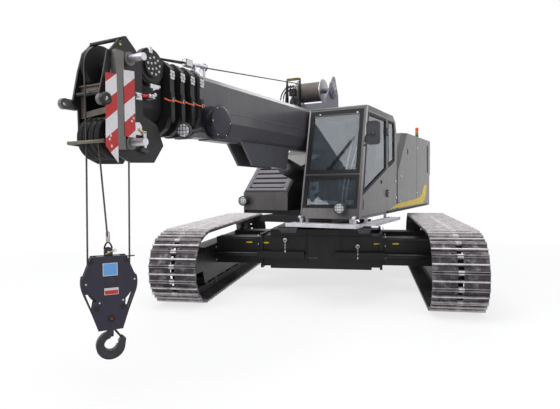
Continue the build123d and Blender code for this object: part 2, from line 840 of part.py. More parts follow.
with BuildPart() as warning_tower:
    with BuildSketch(upper.deck(house_top)):
        with Locations((-2900, half_width - 200)):
            RegularPolygon(10, 8)
    extrude(amount=80)
    with BuildSketch(upper.deck(house_top + 80)):
        with Locations((-2900, half_width - 200)):
            Circle(35)
    extrude(amount=200)
warning_tower.part.label = "warning_tower"
export_step(warning_tower.part, "parts/warning_tower.step")

# ---- luffing cylinder ----------------------------------------------------------------------
eye_w, eye_z = luff_eye
closed = hypot(eye_w - foot_w, eye_z - foot_z)
cylinder_axis = upper.along(0, (eye_w - foot_w) / closed, (eye_z - foot_z) / closed)
barrel_base = Plane(upper.point(0, foot_w, foot_z), x_dir=upper.along(1, 0, 0), z_dir=cylinder_axis)
with BuildPart() as luff_barrel:
    with BuildSketch(barrel_base.offset(barrel_start)):
        Circle(barrel_radius)
    extrude(amount=barrel_end - barrel_start)
    with BuildSketch(upper.side(0)):
        with Locations(luff_foot):
            RegularPolygon(eye_radius, head_sides)
    extrude(amount=luff_eye_half, both=True)
    with BuildSketch(barrel_base):
        Rectangle(2 * luff_eye_half, 150)
    extrude(amount=barrel_start)
    with BuildSketch(upper.side(0)):
        with Locations(luff_foot):
            Circle(luff_pin + pin_gap)
    extrude(amount=luff_eye_half, both=True, mode=Mode.SUBTRACT)
    with BuildSketch(barrel_base.offset(barrel_end)):
        Circle(rod_radius + pin_gap)
    extrude(amount=barrel_start + 60 - barrel_end, mode=Mode.SUBTRACT)
luff_barrel.part.label = "luff_barrel"
export_step(luff_barrel.part, "parts/luff_barrel.step")

with BuildPart() as luff_rod:
    with BuildSketch(barrel_base.offset(barrel_start + 80)):
        Circle(rod_radius)
    extrude(amount=closed - barrel_start - 80)
    with BuildSketch(upper.side(0)):
        with Locations(luff_eye):
            RegularPolygon(eye_radius, head_sides)
    extrude(amount=luff_eye_half, both=True)
    with BuildSketch(upper.side(0)):
        with Locations(luff_eye):
            Circle(luff_pin + pin_gap)
    extrude(amount=luff_eye_half, both=True, mode=Mode.SUBTRACT)
luff_rod.part.label = "luff_rod"
export_step(luff_rod.part, "parts/luff_rod.step")

# ---- boom ----------------------------------------------------------------------------------
boom_profile = [(-boom_half + 55, boom_top), (boom_half - 55, boom_top), (boom_half, boom_top - 55),
                (boom_half, boom_bottom + 190), (boom_half - 70, boom_bottom + 50),
                (boom_half - 150, boom_bottom), (-boom_half + 150, boom_bottom),
                (-boom_half + 70, boom_bottom + 50), (-boom_half, boom_bottom + 190),
                (-boom_half, boom_top - 55)]


def boom_outline(w, inset):
    """Face across the boom at w, its edge an even distance inside the base section's skin."""
    with BuildSketch(upper.front(w)) as across:
        with BuildLine():
            Polyline(*boom_profile, close=True)
        make_face()
        if inset:
            offset(amount=-inset, kind=Kind.INTERSECTION)
    return across.sketch


eye_gap = luff_eye_half + 2 * slide_gap
with BuildPart() as boom_base:
    extrude(boom_outline(boom_rear, 0), amount=collar_w - boom_rear)
    extrude(boom_outline(collar_w, -collar_reach), amount=collar_thick)
    extrude(boom_outline(boom_rear + 250, boom_wall), amount=collar_w - boom_rear, mode=Mode.SUBTRACT)
    # foot
    with BuildSketch(upper.side(0)):
        with BuildLine():
            Polyline((boom_rear, boom_top), (pivot_w - 60, pivot_z + 120), (pivot_w - 60, pivot_z - 120),
                     (boom_rear, boom_bottom + 60), close=True)
        make_face()
        with Locations(boom_pivot):
            RegularPolygon(foot_radius, head_sides)
    extrude(amount=boom_half, both=True)
    with BuildSketch(upper.side(0)):
        with Locations(boom_pivot):
            Circle(boom_pin + pin_gap)
    extrude(amount=boom_half, both=True, mode=Mode.SUBTRACT)
    # ring on a post that guides the hoist rope
    for outline_radius, ring_mode in ((guide_rim, Mode.ADD), (guide_bore, Mode.SUBTRACT)):
        with BuildSketch(upper.front(guide_w)):
            if ring_mode is Mode.ADD:
                with Locations((0, boom_top)):
                    Rectangle(guide_thick, guide_z - boom_top, align=(Align.CENTER, Align.MIN))
            with Locations((0, guide_z)):
                RegularPolygon(outline_radius, head_sides)
        extrude(amount=guide_thick / 2, both=True, mode=ring_mode)
    # cheeks over the rod's eye
    for flank in (-1, 1):
        with BuildSketch(upper.side(flank * (eye_gap + 15))):
            with BuildLine():
                Polyline((2900, boom_bottom + 17), (2640, 2005), (1700, 1985), (1600, boom_bottom + 17),
                         close=True)
            make_face()
        extrude(amount=15, both=True)
boom_base.part.label = "boom_base"
export_step(boom_base.part, "parts/boom_base.step")

for number in range(2, section_count + 1):
    inset = nest * (number - 1)
    front = collar_w + collar_step * (number - 1)
    rear = boom_rear + 300 + 60 * (number - 1)
    with BuildPart() as section:
        if number < section_count:
            extrude(boom_outline(rear, inset), amount=front - rear)
            extrude(boom_outline(front, -collar_reach), amount=collar_thick)
        else:
            extrude(boom_outline(rear, inset), amount=head_rear - rear)
            extrude(boom_outline(head_rear - 40, head_flange_inset), amount=40)
            with BuildSketch(upper.front(head_rear - 40)):
                with Locations((0, (head_flange_low + head_flange_high) / 2)):
                    Rectangle(2 * head_half - head_plate, head_flange_high - head_flange_low)
            extrude(amount=40)
        extrude(boom_outline(rear - 1, inset + boom_wall), amount=head_rear - rear - 39,
                mode=Mode.SUBTRACT)
        # wear pads between this section's tail and the section around it
        extrude(boom_outline(rear, inset - nest + boom_wall + pad_gap), amount=60)
        extrude(boom_outline(rear, inset + boom_wall), amount=60, mode=Mode.SUBTRACT)
        if number == section_count:
            for flank in (-1, 1):
                with BuildSketch(upper.side(flank * (head_half - head_plate / 2))):
                    with BuildLine():
                        Polyline(*[(head_rear + w, z) for w, z in head_outline], close=True)
                    make_face()
                extrude(amount=head_plate / 2, both=True)
            for centre in (upper_sheave, lower_sheave):
                with BuildSketch(upper.side(0)):
                    with Locations(centre):
                        Circle(sheave_pin)
                extrude(amount=head_half - head_plate / 2, both=True)
            with BuildSketch(upper.side(0)):
                with Locations(cross_rod):
                    RegularPolygon(cross_rod_radius, 12)
            extrude(amount=head_half - head_plate / 2, both=True)
            # bolted plate and its cover on the left, over the section's skin
            skin_face = boom_half - inset
            for radius, reach in ((disc_radius, disc_face), (disc_cover, disc_face + 25)):
                with BuildSketch(upper.side(skin_face - 2)):
                    with Locations(disc_centre):
                        RegularPolygon(radius, 32)
                extrude(amount=skin_face - 2 - reach)
    section.part.label = f"boom_section_{number}" if number < section_count else "boom_head"
    export_step(section.part, f"parts/{section.part.label}.step")

with BuildPart() as jib_pins:
    for z in jib_pin_heights:
        with BuildSketch(upper.side(head_half)):
            with Locations((jib_pin_w, z)):
                RegularPolygon(jib_boss_radius, head_sides)
        extrude(amount=-jib_boss)
        with BuildSketch(upper.side(head_half + jib_boss)):
            with Locations((jib_pin_w, z)):
                Circle(jib_pin_radius)
        extrude(amount=jib_boss - jib_pin_reach)
    with BuildSketch(upper.side(head_half)):
        with Locations((post_w, (post_low + post_high) / 2)):
            Rectangle(post_width, post_high - post_low)
    extrude(amount=-post_thick)
    # bored lugs on the outer faces of the head plates
    for flank in (-1, 1):
        with BuildSketch(upper.side(flank * (head_half + nose_thick / 2))):
            with Locations(nose_lug):
                RegularPolygon(nose_radius, head_sides)
                Rectangle(nose_root, 2 * nose_radius * cos(pi / 8), align=(Align.MAX, Align.CENTER))
                Circle(nose_bore, mode=Mode.SUBTRACT)
        extrude(amount=nose_thick / 2, both=True)
jib_pins.part.label = "jib_pins"
export_step(jib_pins.part, "parts/jib_pins.step")

# ---- sheaves of the head -------------------------------------------------------------------
def sheave(body, w, u, z, bore, rim, pitch, slack):
    """Sheave whose groove's walls lie beside the rope."""
    wall = atan2(sheave_half, rim - pitch) - asin((rope / 2 + slack) / hypot(sheave_half, rim - pitch))
    with BuildPart() as turned:
        with BuildSketch(body.side(u)):
            with Locations((w, z)):
                RegularPolygon(rim - sheave_half / tan(wall), sheave_sides)
        # the walls' slope between corners becomes the facets' slope between flats
        extrude(amount=sheave_half, both=True, taper=-degrees(atan2(cos(pi / sheave_sides), tan(wall))))
        with BuildSketch(body.side(u + sheave_half)):
            with Locations((w, z)):
                Circle(bore)
        extrude(amount=2 * sheave_half, mode=Mode.SUBTRACT)
    return turned.part


for name, centre, places, slack in (
        ("upper_sheave", upper_sheave, (fall_front_u,), pad_gap),
        ("lower_sheaves", lower_sheave, lower_sheave_places, fall_slack)):
    turned_sheaves = [sheave(upper, centre[0], u, centre[1], sheave_pin + pin_gap, sheave_radius,
                             sheave_pitch, slack) for u in places]
    with BuildPart() as sheaves:
        add(turned_sheaves)
    sheaves.part.label = name
    export_step(sheaves.part, f"parts/{name}.step")

# ---- winch ---------------------------------------------------------------------------------
winch_w, winch_z = winch_axle
with BuildPart() as winch_frame:
    with BuildSketch(upper.deck(boom_top)):
        with Locations((winch_w, (winch_left + winch_right) / 2)):
            Rectangle(560, winch_left - winch_right)
    extrude(amount=winch_base)
    for u in (winch_left, winch_right + winch_plate):
        with BuildSketch(upper.side(u)):
            with BuildLine():
                Polyline((winch_w - 280, boom_top), (winch_w + 280, boom_top),
                         (winch_w + 270, winch_z - 160), (winch_w + 80, winch_z + 60),
                         (winch_w - 60, winch_z + 240), (winch_w - 120, winch_z + 240),
                         (winch_w - 270, winch_z - 60), close=True)
            make_face()
        extrude(amount=winch_plate)
    with BuildSketch(upper.side(0)):
        with Locations(winch_axle):
            Circle(winch_shaft)
    extrude(amount=-winch_left)
    with BuildSketch(upper.side(0)):
        with Locations(winch_axle):
            Circle(winch_shaft)
    extrude(amount=-winch_right)
winch_frame.part.label = "winch_frame"
export_step(winch_frame.part, "parts/winch_frame.step")

with BuildPart() as winch_drum:
    with BuildSketch(upper.side(drum_left)):
        with Locations(winch_axle):
            RegularPolygon(drum_radius, sheave_sides)
    extrude(amount=drum_left - drum_right)
    for u in (drum_left + 15, drum_right):
        with BuildSketch(upper.side(u)):
            with Locations(winch_axle):
                RegularPolygon(flange_radius, sheave_sides)
        extrude(amount=15)
    with BuildSketch(upper.side(drum_left + 16)):
        with Locations(winch_axle):
            Circle(winch_shaft + pin_gap)
    extrude(amount=drum_left - drum_right + 32, mode=Mode.SUBTRACT)
winch_drum.part.label = "winch_drum"
export_step(winch_drum.part, "parts/winch_drum.step")

# ---- cable reel and rope guide -------------------------------------------------------------
with BuildPart() as cable_reel:
    with BuildSketch(upper.side(boom_half)):
        with Locations(reel_centre):
            RegularPolygon(60, head_sides)
    extrude(amount=-40)
    with BuildSketch(upper.side(boom_half + 40)):
        with Locations(reel_centre):
            RegularPolygon(reel_core, 24)
    extrude(amount=-reel_depth)
    for face in (boom_half + 40, boom_half + 40 + reel_depth - reel_disc):
        with BuildSketch(upper.side(face)):
            with Locations(reel_centre):
                RegularPolygon(reel_radius, sheave_sides)
        extrude(amount=-reel_disc)
cable_reel.part.label = "cable_reel"
export_step(cable_reel.part, "parts/cable_reel.step")


def taut(start, end):
    """Plane at the start of a taut rope, facing its end, and the rope's length."""
    run = end - start
    return Plane(start, z_dir=run), run.length


def tangent(centre, reach, far, turn):
    """Point where a rope to a far point leaves a sheave, both given as w and z."""
    run = Vector(far[0] - centre[0], far[1] - centre[1])
    angle = atan2(run.Y, run.X) + turn * acos(reach / run.length)
    return centre[0] + reach * cos(angle), centre[1] + reach * sin(angle)


# hoist rope from the drum through the ring guide to the upper sheave, and down to the falls
drum_pitch = drum_radius + rope / 2 + pad_gap
lower_w, lower_z = lower_sheave
guide = (guide_w, guide_z)
rope_runs = (
    (upper.point(drum_rope_u, *tangent(winch_axle, drum_pitch, guide, 1)), upper.point(0, *guide)),
    (upper.point(0, guide_w + 2, guide_z), upper.point(fall_front_u, *tangent(upper_sheave, sheave_pitch, guide, -1))),
    (upper.point(fall_front_u, upper_sheave[0] + sheave_pitch, upper_sheave[1]),
     upper.point(fall_front_u, lower_w + sheave_pitch, lower_z + 1)),
)
for name, runs in (("boom_rope", rope_runs[:1]), ("head_rope", rope_runs[1:])):
    with BuildPart() as hoist_rope:
        for start, end in runs:
            plane, length = taut(start, end)
            with BuildSketch(plane):
                RegularPolygon(rope / 2, rope_sides)
            extrude(amount=length)
    hoist_rope.part.label = name
    export_step(hoist_rope.part, f"parts/{name}.step")

# ---- falls and hook block ------------------------------------------------------------------
front_fall = upper.point(fall_front_u, lower_w + sheave_pitch, lower_z)
rear_fall = upper.point(fall_rear_u, lower_w - sheave_pitch, lower_z)
becket_top = becket_z + 62
becket_fall = upper.point(fall_rear_u, *tangent(lower_sheave, sheave_pitch, (lower_w, becket_top), 1))
with BuildPart() as falls:
    for start, end in ((front_fall, hanging.point(0, block_pitch, block_sheave_z)),
                       (rear_fall, hanging.point(0, -block_pitch, block_sheave_z)),
                       (becket_fall, hanging.point(0, 0, becket_top))):
        plane, length = taut(start, end)
        with BuildSketch(plane):
            RegularPolygon(rope / 2, rope_sides)
        extrude(amount=length)
falls.part.label = "falls"
export_step(falls.part, "parts/falls.step")

with BuildPart() as block:
    for flank in (-1, 1):
        with BuildSketch(hanging.side(flank * (block_gap / 2 + block_plate / 2))):
            with Locations((0, block_sheave_z)):
                RegularPolygon(block_half, sheave_sides)
            with BuildLine():
                Polyline((-block_half + 6, block_sheave_z - 60), (-block_foot, block_bottom),
                         (block_foot, block_bottom), (block_half - 6, block_sheave_z - 60), close=True)
            make_face()
            with BuildLine():
                Polyline((-block_half + 20, block_sheave_z + 60), (-block_shoulder, block_top),
                         (block_shoulder, block_top), (block_half - 20, block_sheave_z + 60), close=True)
            make_face()
        extrude(amount=block_plate / 2, both=True)
    with BuildSketch(hanging.side(0)):
        with Locations((0, block_sheave_z)):
            Circle(block_pin)
    extrude(amount=block_gap / 2, both=True)
    # spacers, crosshead and becket ears
    with BuildSketch(hanging.side(0)):
        with Locations((0, crosshead_bottom)):
            Rectangle(110, crosshead_height, align=(Align.CENTER, Align.MIN))
        with Locations((0, becket_z)):
            Rectangle(70, 120)
        with Locations((0, block_top - 15)):
            Rectangle(200, 30)
    extrude(amount=block_gap / 2, both=True)
    for spacer in spacers:
        with BuildSketch(hanging.side(0)):
            with Locations(spacer):
                RegularPolygon(spacer_radius, 12)
        extrude(amount=block_gap / 2 + block_plate + 8, both=True)
    with BuildSketch(hanging.deck(crosshead_bottom)):
        Circle(shank_radius + pin_gap)
    extrude(amount=crosshead_height, mode=Mode.SUBTRACT)
block.part.label = "block"
export_step(block.part, "parts/block.step")

turned_sheave = sheave(hanging, 0, 0, block_sheave_z, block_pin + pin_gap, block_rim, block_pitch,
                       pad_gap)
with BuildPart() as block_sheave:
    add(turned_sheave)
block_sheave.part.label = "block_sheave"
export_step(block_sheave.part, "parts/block_sheave.step")

shank_foot = block_bottom - 70
with BuildPart() as hook:
    with BuildSketch(hanging.deck(shank_foot)):
        Circle(shank_collar)
    extrude(amount=crosshead_bottom - pad_gap - shank_foot)
    with BuildSketch(hanging.deck(shank_foot)):
        Circle(shank_radius)
    extrude(amount=crosshead_bottom + crosshead_height + 20 - shank_foot)
    with BuildSketch(hanging.side(0)):
        with Locations((0, hook_z)):
            RegularPolygon(hook_bowl, sheave_sides)
            Rectangle(2 * hook_bowl, 2 * hook_bowl, align=(Align.MAX, Align.MIN), mode=Mode.SUBTRACT)
        with BuildLine():
            Polyline((-hook_bowl, hook_z - 5), (-hook_bowl - 8, hook_z + 45), (-hook_throat - 45, hook_z + 78),
                     (-hook_throat - 12, hook_z + 30), (-hook_throat - 12, hook_z - 5), close=True)
        make_face()
        with Locations((0, hook_z + hook_throat_rise)):
            RegularPolygon(hook_throat, 24, mode=Mode.SUBTRACT)
    extrude(amount=30, both=True)
hook.part.label = "hook"
export_step(hook.part, "parts/hook.step")
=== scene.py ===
"""Telescopic crawler crane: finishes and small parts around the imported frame.

Metres throughout. On the superstructure, u runs to the machine's left, w forward and z up.
"""

from __future__ import annotations

import logging
import math
import sys
from dataclasses import dataclass, field
from enum import Enum
from typing import Iterable, Sequence

import bmesh
import bpy
from mathutils import Matrix, Vector

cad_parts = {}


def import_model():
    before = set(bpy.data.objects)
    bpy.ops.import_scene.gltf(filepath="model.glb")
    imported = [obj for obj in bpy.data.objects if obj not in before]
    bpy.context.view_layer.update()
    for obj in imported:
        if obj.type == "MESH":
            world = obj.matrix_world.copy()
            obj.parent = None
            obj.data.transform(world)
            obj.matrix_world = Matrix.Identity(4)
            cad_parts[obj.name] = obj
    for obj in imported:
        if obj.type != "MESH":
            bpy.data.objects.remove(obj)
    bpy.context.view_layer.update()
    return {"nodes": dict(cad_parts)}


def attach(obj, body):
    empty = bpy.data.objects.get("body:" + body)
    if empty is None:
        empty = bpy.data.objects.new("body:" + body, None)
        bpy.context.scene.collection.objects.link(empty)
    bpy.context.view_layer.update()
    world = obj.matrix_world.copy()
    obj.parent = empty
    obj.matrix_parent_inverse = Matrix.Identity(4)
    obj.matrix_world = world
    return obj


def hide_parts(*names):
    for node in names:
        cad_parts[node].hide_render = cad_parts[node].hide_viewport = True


LOG = logging.getLogger("crane")
Colour = tuple[float, float, float]
Pair = tuple[float, float]
Triple = tuple[float, float, float]


# ---- places --------------------------------------------------------------------------------
@dataclass(frozen=True)
class Bearing:
    """Directions on a body that is turned about an upright axis.

    Args:
        turn: angle about +Z in degrees.
        foot: ground point of the body's own origin.
    """

    turn: float = 0.0
    foot: Pair = (0.0, 0.0)

    def along(self, u: float, w: float, z: float) -> Vector:
        """Direction with these shares to the left, forward and up."""
        return Matrix.Rotation(math.radians(self.turn), 3, "Z") @ Vector((u, -w, z))

    def at(self, u: float, w: float, z: float) -> Vector:
        """Point in the machine's frame."""
        return self.along(u, w, z) + Vector((*self.foot, 0.0))


SLEW = -17.62
BLOCK_TURN = -36.0
HEAD_W = 4.95
LOWER = Bearing()
UPPER = Bearing(SLEW)
LEFTWARD = UPPER.along(1, 0, 0)
FORWARD = UPPER.along(0, 1, 0)
UPWARD = Vector((0.0, 0.0, 1.0))
_block_foot = UPPER.along(0.0, HEAD_W, 0.0)
HANGING = Bearing(SLEW + BLOCK_TURN, (_block_foot.x, _block_foot.y))


def shares(count: int) -> list[float]:
    """Even steps from 0 to 1."""
    return [i / count for i in range(count + 1)]


def circle(bearing: Bearing, u: float, centre: Pair, reach: float, count: int, start: float = 0.0,
           way: int = 1) -> list[tuple[Vector, Vector]]:
    """Places on a circle beside a body, each with the direction that a bolt there faces.

    Args:
        bearing: directions of the body.
        u: distance to the left.
        centre: the circle's middle as w and z.
        reach: its radius.
        count: how many places.
        start: the first one's angle in degrees.
        way: 1 where the bolts face left, -1 where they face right.

    Returns:
        Points and directions.
    """
    w, z = centre
    return [(bearing.at(u, w + reach * math.cos(a), z + reach * math.sin(a)), bearing.along(way, 0, 0))
            for a in (math.radians(start) + math.tau * i / count for i in range(count))]


# ---- shader trees --------------------------------------------------------------------------
def shade(colour: Colour, factor: float) -> Colour:
    """A colour made darker or lighter."""
    return tuple(min(1.0, c * factor) for c in colour)


def feed(tree: bpy.types.NodeTree, socket: bpy.types.NodeSocket, value: object) -> None:
    """Link a node's input to a socket, or give it a plain value, a colour without its alpha among them."""
    if isinstance(value, bpy.types.NodeSocket):
        tree.links.new(value, socket)
    elif isinstance(value, tuple) and len(value) == 3 and socket.type == "RGBA":
        socket.default_value = (*value, 1.0)
    else:
        socket.default_value = value


class Shader:
    """A material's node tree, with short calls for the nodes that the finishes share."""

    def __init__(self, name: str) -> None:
        """Start an empty material with one principled shader."""
        self.material = bpy.data.materials.new(name)
        self.material.use_nodes = True
        self.tree = self.material.node_tree
        self.tree.nodes.clear()
        self.shader = self.tree.nodes.new("ShaderNodeBsdfPrincipled")
        out = self.tree.nodes.new("ShaderNodeOutputMaterial")
        self.tree.links.new(self.shader.outputs["BSDF"], out.inputs["Surface"])
        self.place = self.tree.nodes.new("ShaderNodeTexCoord")

    def node(self, kind: str, **values: object) -> bpy.types.Node:
        """Add a node.

        Args:
            kind: the node's type name.
            **values: properties of the node, or sockets or values of its inputs by name with "_" for " ".

        Returns:
            The new node.
        """
        made = self.tree.nodes.new(kind)
        for key, value in values.items():
            if hasattr(made, key):
                setattr(made, key, value)
            else:
                feed(self.tree, made.inputs[key.replace("_", " ")], value)
        return made

    def calc(self, operation: str, *values: object, clamp: bool = False) -> bpy.types.NodeSocket:
        """Result of a sum on sockets or plain numbers."""
        made = self.node("ShaderNodeMath", operation=operation, use_clamp=clamp)
        for socket, value in zip(made.inputs, values):
            feed(self.tree, socket, value)
        return made.outputs[0]

    def link(self, start: bpy.types.NodeSocket, end: bpy.types.NodeSocket) -> None:
        """Join two sockets."""
        self.tree.links.new(start, end)

    def noise(self, scale: float, detail: float = 3.0, rough: float = 0.5,
              stretch: Triple = (1.0, 1.0, 1.0)) -> bpy.types.NodeSocket:
        """Noise on the object's own coordinates.

        Args:
            scale: features per metre.
            detail: octaves.
            rough: share of each octave.
            stretch: scale of each axis before the noise.

        Returns:
            The noise's value socket.
        """
        mapping = self.node("ShaderNodeMapping", Scale=stretch, Vector=self.place.outputs["Object"])
        made = self.node("ShaderNodeTexNoise", Scale=scale, Detail=detail, Roughness=rough,
                         Vector=mapping.outputs["Vector"])
        return made.outputs["Fac"]

    def ramp(self, fac: bpy.types.NodeSocket, stops: Sequence[tuple[float, Colour]]) -> bpy.types.NodeSocket:
        """Colours along a value.

        Args:
            fac: value from 0 to 1.
            stops: places and their colours.

        Returns:
            The colour socket.
        """
        made = self.node("ShaderNodeValToRGB")
        elements = made.color_ramp.elements
        while len(elements) < len(stops):
            elements.new(0.5)
        for element, (place, colour) in zip(elements, stops):
            element.position = place
            element.color = (*colour, 1.0)
        self.link(fac, made.inputs["Fac"])
        return made.outputs["Color"]

    def spread(self, fac: bpy.types.NodeSocket, low: float, high: float, start: float = 0.0,
               end: float = 1.0) -> bpy.types.NodeSocket:
        """Map a value between two ends onto low to high."""
        made = self.node("ShaderNodeMapRange", Value=fac, From_Min=start, From_Max=end, To_Min=low, To_Max=high)
        return made.outputs["Result"]

    def mix(self, fac: bpy.types.NodeSocket, first: object, second: object) -> bpy.types.NodeSocket:
        """Blend two colours, each a socket or a plain colour, by a value socket."""
        made = self.node("ShaderNodeMix", data_type="RGBA")
        for place, value in ((0, fac), (6, first), (7, second)):
            feed(self.tree, made.inputs[place], value)
        return made.outputs[2]

    def bump(self, height: bpy.types.NodeSocket, distance: float, strength: float = 1.0) -> None:
        """Raise the surface by a value socket."""
        self.set(Normal=self.node("ShaderNodeBump", Distance=distance, Strength=strength,
                                  Height=height).outputs["Normal"])

    def set(self, **values: object) -> None:
        """Set plain values, or link sockets, on the shader's own inputs."""
        for key, value in values.items():
            feed(self.tree, self.shader.inputs[key.replace("_", " ")], value)


@dataclass(frozen=True)
class Paint:
    """Sprayed paint with a fine flake, soft waves and a little dust.

    Args:
        name: the material's name.
        colour: colour of the clean coat.
        dust: colour that lies over it in patches.
        rough: roughness of the clean coat.
        metal: share of metallic flake.
        coat: clear coat's weight.
        dusty: how much of the dust shows.
    """

    name: str
    colour: Colour
    dust: Colour = (0.30, 0.28, 0.25)
    rough: float = 0.35
    metal: float = 0.4
    coat: float = 0.3
    dusty: float = 0.12

    def build(self) -> bpy.types.Material:
        """Return the finished material."""
        s = Shader(self.name)
        low, high = shade(self.colour, 0.88), shade(self.colour, 1.12)
        tone = s.ramp(s.noise(2.2, 4.0, 0.6), [(0.3, low), (0.7, high)])
        flake = s.ramp(s.noise(900.0, 1.0), [(0.42, low), (0.60, high)])
        body = s.mix(s.spread(s.noise(40.0), 0.2, 0.5), tone, flake)
        streaks = s.spread(s.noise(7.0, 6.0, 0.65, (1.0, 1.0, 0.25)), 0.0, self.dusty, 0.45, 0.75)
        s.set(Base_Color=s.mix(streaks, body, self.dust), Metallic=self.metal,
              Roughness=s.spread(s.noise(11.0, 5.0, 0.6), self.rough - 0.05, self.rough + 0.12),
              Specular_IOR_Level=0.28, Coat_Weight=self.coat * 0.7, Coat_Roughness=0.12)
        s.bump(s.noise(55.0, 2.0), 0.0006, 0.35)
        return s.material


@dataclass(frozen=True)
class BareSteel:
    """Rolled or machined steel with fine scratches and stains.

    Args:
        name: the material's name.
        colour: bright colour.
        stain: dark colour between the bright parts.
        rough: roughness.
        stained: share of the surface that is stained.
        grain: bump height in metres.
    """

    name: str
    colour: Colour
    stain: Colour
    rough: float = 0.35
    stained: float = 0.3
    grain: float = 0.0006

    def build(self) -> bpy.types.Material:
        """Return the finished material."""
        s = Shader(self.name)
        tone = s.ramp(s.noise(6.0, 6.0, 0.65), [(0.35, shade(self.colour, 0.8)), (0.65, self.colour)])
        patch = s.spread(s.noise(23.0, 5.0, 0.7), 0.0, 1.0, 0.62 - self.stained * 0.4, 0.72)
        s.set(Base_Color=s.mix(s.spread(patch, 0.0, self.stained), tone, self.stain), Metallic=0.85,
              Roughness=s.spread(s.noise(70.0, 3.0, 0.6), self.rough - 0.08, self.rough + 0.15))
        s.bump(s.noise(180.0, 3.0), self.grain, 0.5)
        return s.material


@dataclass(frozen=True)
class WornShadedShoe:
    """Track steel: bright on the tips, which the ground rubs and which carry a painted highlight, and dark in the
    hollows and gaps between shoes, a painted shade.

    The mesh carries a point attribute for this, 1 at the rubbed, lit tips and 0 in the hollows in painted shade.
    """

    name: str = "track_shoe_steel"
    # bright paints the rubbed tips with a highlight; dark paints the shade in the hollows and gaps between shoes
    bright: Colour = (0.56, 0.53, 0.54)
    dark: Colour = (0.040, 0.036, 0.044)
    soil: Colour = (0.12, 0.10, 0.09)

    def build(self) -> bpy.types.Material:
        """Return the finished material."""
        s = Shader(self.name)
        wear_and_shade = s.node("ShaderNodeAttribute", attribute_name="wear_and_shade").outputs["Fac"]
        patch = s.spread(s.noise(9.0, 6.0, 0.7), -0.55, 0.45, 0.25, 0.75)
        # dark in the hollows is painted shade; bright on the tips is rubbed steel with a painted highlight
        steel = s.mix(s.calc("MULTIPLY_ADD", patch, 0.9, wear_and_shade, clamp=True), self.dark, self.bright)
        soiled = s.spread(s.noise(31.0, 6.0, 0.75), 0.0, 0.55, 0.52, 0.72)
        s.set(Base_Color=s.mix(soiled, steel, self.soil), Metallic=0.55,
              Roughness=s.spread(s.noise(60.0, 3.0), 0.38, 0.62))
        s.bump(s.noise(120.0, 4.0, 0.7), 0.0016, 0.6)
        return s.material


@dataclass(frozen=True)
class Moulded:
    """Rubber or moulded plastic with a fine grain.

    Args:
        name: the material's name.
        colour: base colour.
        rough: roughness.
        grain: features of the grain per metre.
        depth: height of the grain in metres.
    """

    name: str
    colour: Colour
    rough: float = 0.5
    grain: float = 900.0
    depth: float = 0.0003

    def build(self) -> bpy.types.Material:
        """Return the finished material."""
        s = Shader(self.name)
        low, high = shade(self.colour, 0.8), shade(self.colour, 1.2)
        s.set(Base_Color=s.ramp(s.noise(14.0, 5.0, 0.6), [(0.3, low), (0.7, high)]),
              Specular_IOR_Level=0.28,
              Roughness=s.spread(s.noise(35.0, 4.0), self.rough - 0.08, self.rough + 0.1))
        s.bump(s.noise(self.grain, 2.0), self.depth, 0.5)
        return s.material


@dataclass(frozen=True)
class Cloth:
    """Woven seat cloth."""

    name: str
    colour: Colour
    thread: float = 420.0

    def build(self) -> bpy.types.Material:
        """Return the finished material."""
        s = Shader(self.name)
        weave = s.calc("MAXIMUM", *(
            s.node("ShaderNodeTexWave", bands_direction=way, Scale=self.thread, Distortion=1.0,
                   Vector=s.place.outputs["Object"]).outputs["Fac"] for way in "XZ"))
        s.set(Base_Color=s.ramp(weave, [(0.2, shade(self.colour, 0.7)), (0.8, self.colour)]), Roughness=0.85,
              Sheen_Weight=0.3)
        s.bump(weave, 0.0006, 0.6)
        return s.material


@dataclass(frozen=True)
class PinSteel:
    """Grey paint on bosses and posts, bare plated steel on the pins that stand out from them.

    Args:
        name: the material's name.
        paint: colour of the paint.
        steel: colour of the pins.
        reach: distance from the machine's middle where the pins begin.
    """

    name: str = "pin_and_post_finish"
    paint: Colour = (0.125, 0.115, 0.112)
    steel: Colour = (0.62, 0.61, 0.66)
    reach: float = 0.284

    def build(self) -> bpy.types.Material:
        """Return the finished material."""
        s = Shader(self.name)
        side = s.node("ShaderNodeVectorMath", operation="DOT_PRODUCT")
        s.link(s.place.outputs["Object"], side.inputs[0])
        side.inputs[1].default_value = LEFTWARD
        bare = s.spread(s.calc("ABSOLUTE", side.outputs["Value"]), 0.0, 1.0, self.reach, self.reach + 0.003)
        worn = s.noise(14.0, 5.0, 0.65)
        paint = s.mix(s.spread(worn, 0.0, 0.35, 0.5, 0.75), self.paint, shade(self.paint, 1.6))
        steel = s.mix(s.spread(worn, 0.0, 0.4, 0.45, 0.8), self.steel, shade(self.steel, 0.6))
        s.set(Base_Color=s.mix(bare, paint, steel), Metallic=s.spread(bare, 0.05, 0.9),
              Roughness=s.spread(s.noise(40.0, 3.0), 0.34, 0.52))
        s.bump(s.noise(90.0, 3.0, 0.6), 0.0004, 0.4)
        return s.material


@dataclass(frozen=True)
class Glazing:
    """Tinted glass with a little dust.

    Args:
        name: the material's name.
        tint: colour of the glass.
        rough: roughness where it is clean.
    """

    name: str
    tint: Colour
    rough: float = 0.01

    def build(self) -> bpy.types.Material:
        """Return the finished material."""
        s = Shader(self.name)
        s.set(Base_Color=s.ramp(s.noise(1.7, 3.0), [(0.3, shade(self.tint, 0.94)), (0.7, self.tint)]),
              Transmission_Weight=0.93, IOR=1.45,
              Roughness=s.spread(s.noise(5.0, 5.0, 0.6), self.rough, self.rough + 0.05, 0.4, 0.8))
        return s.material


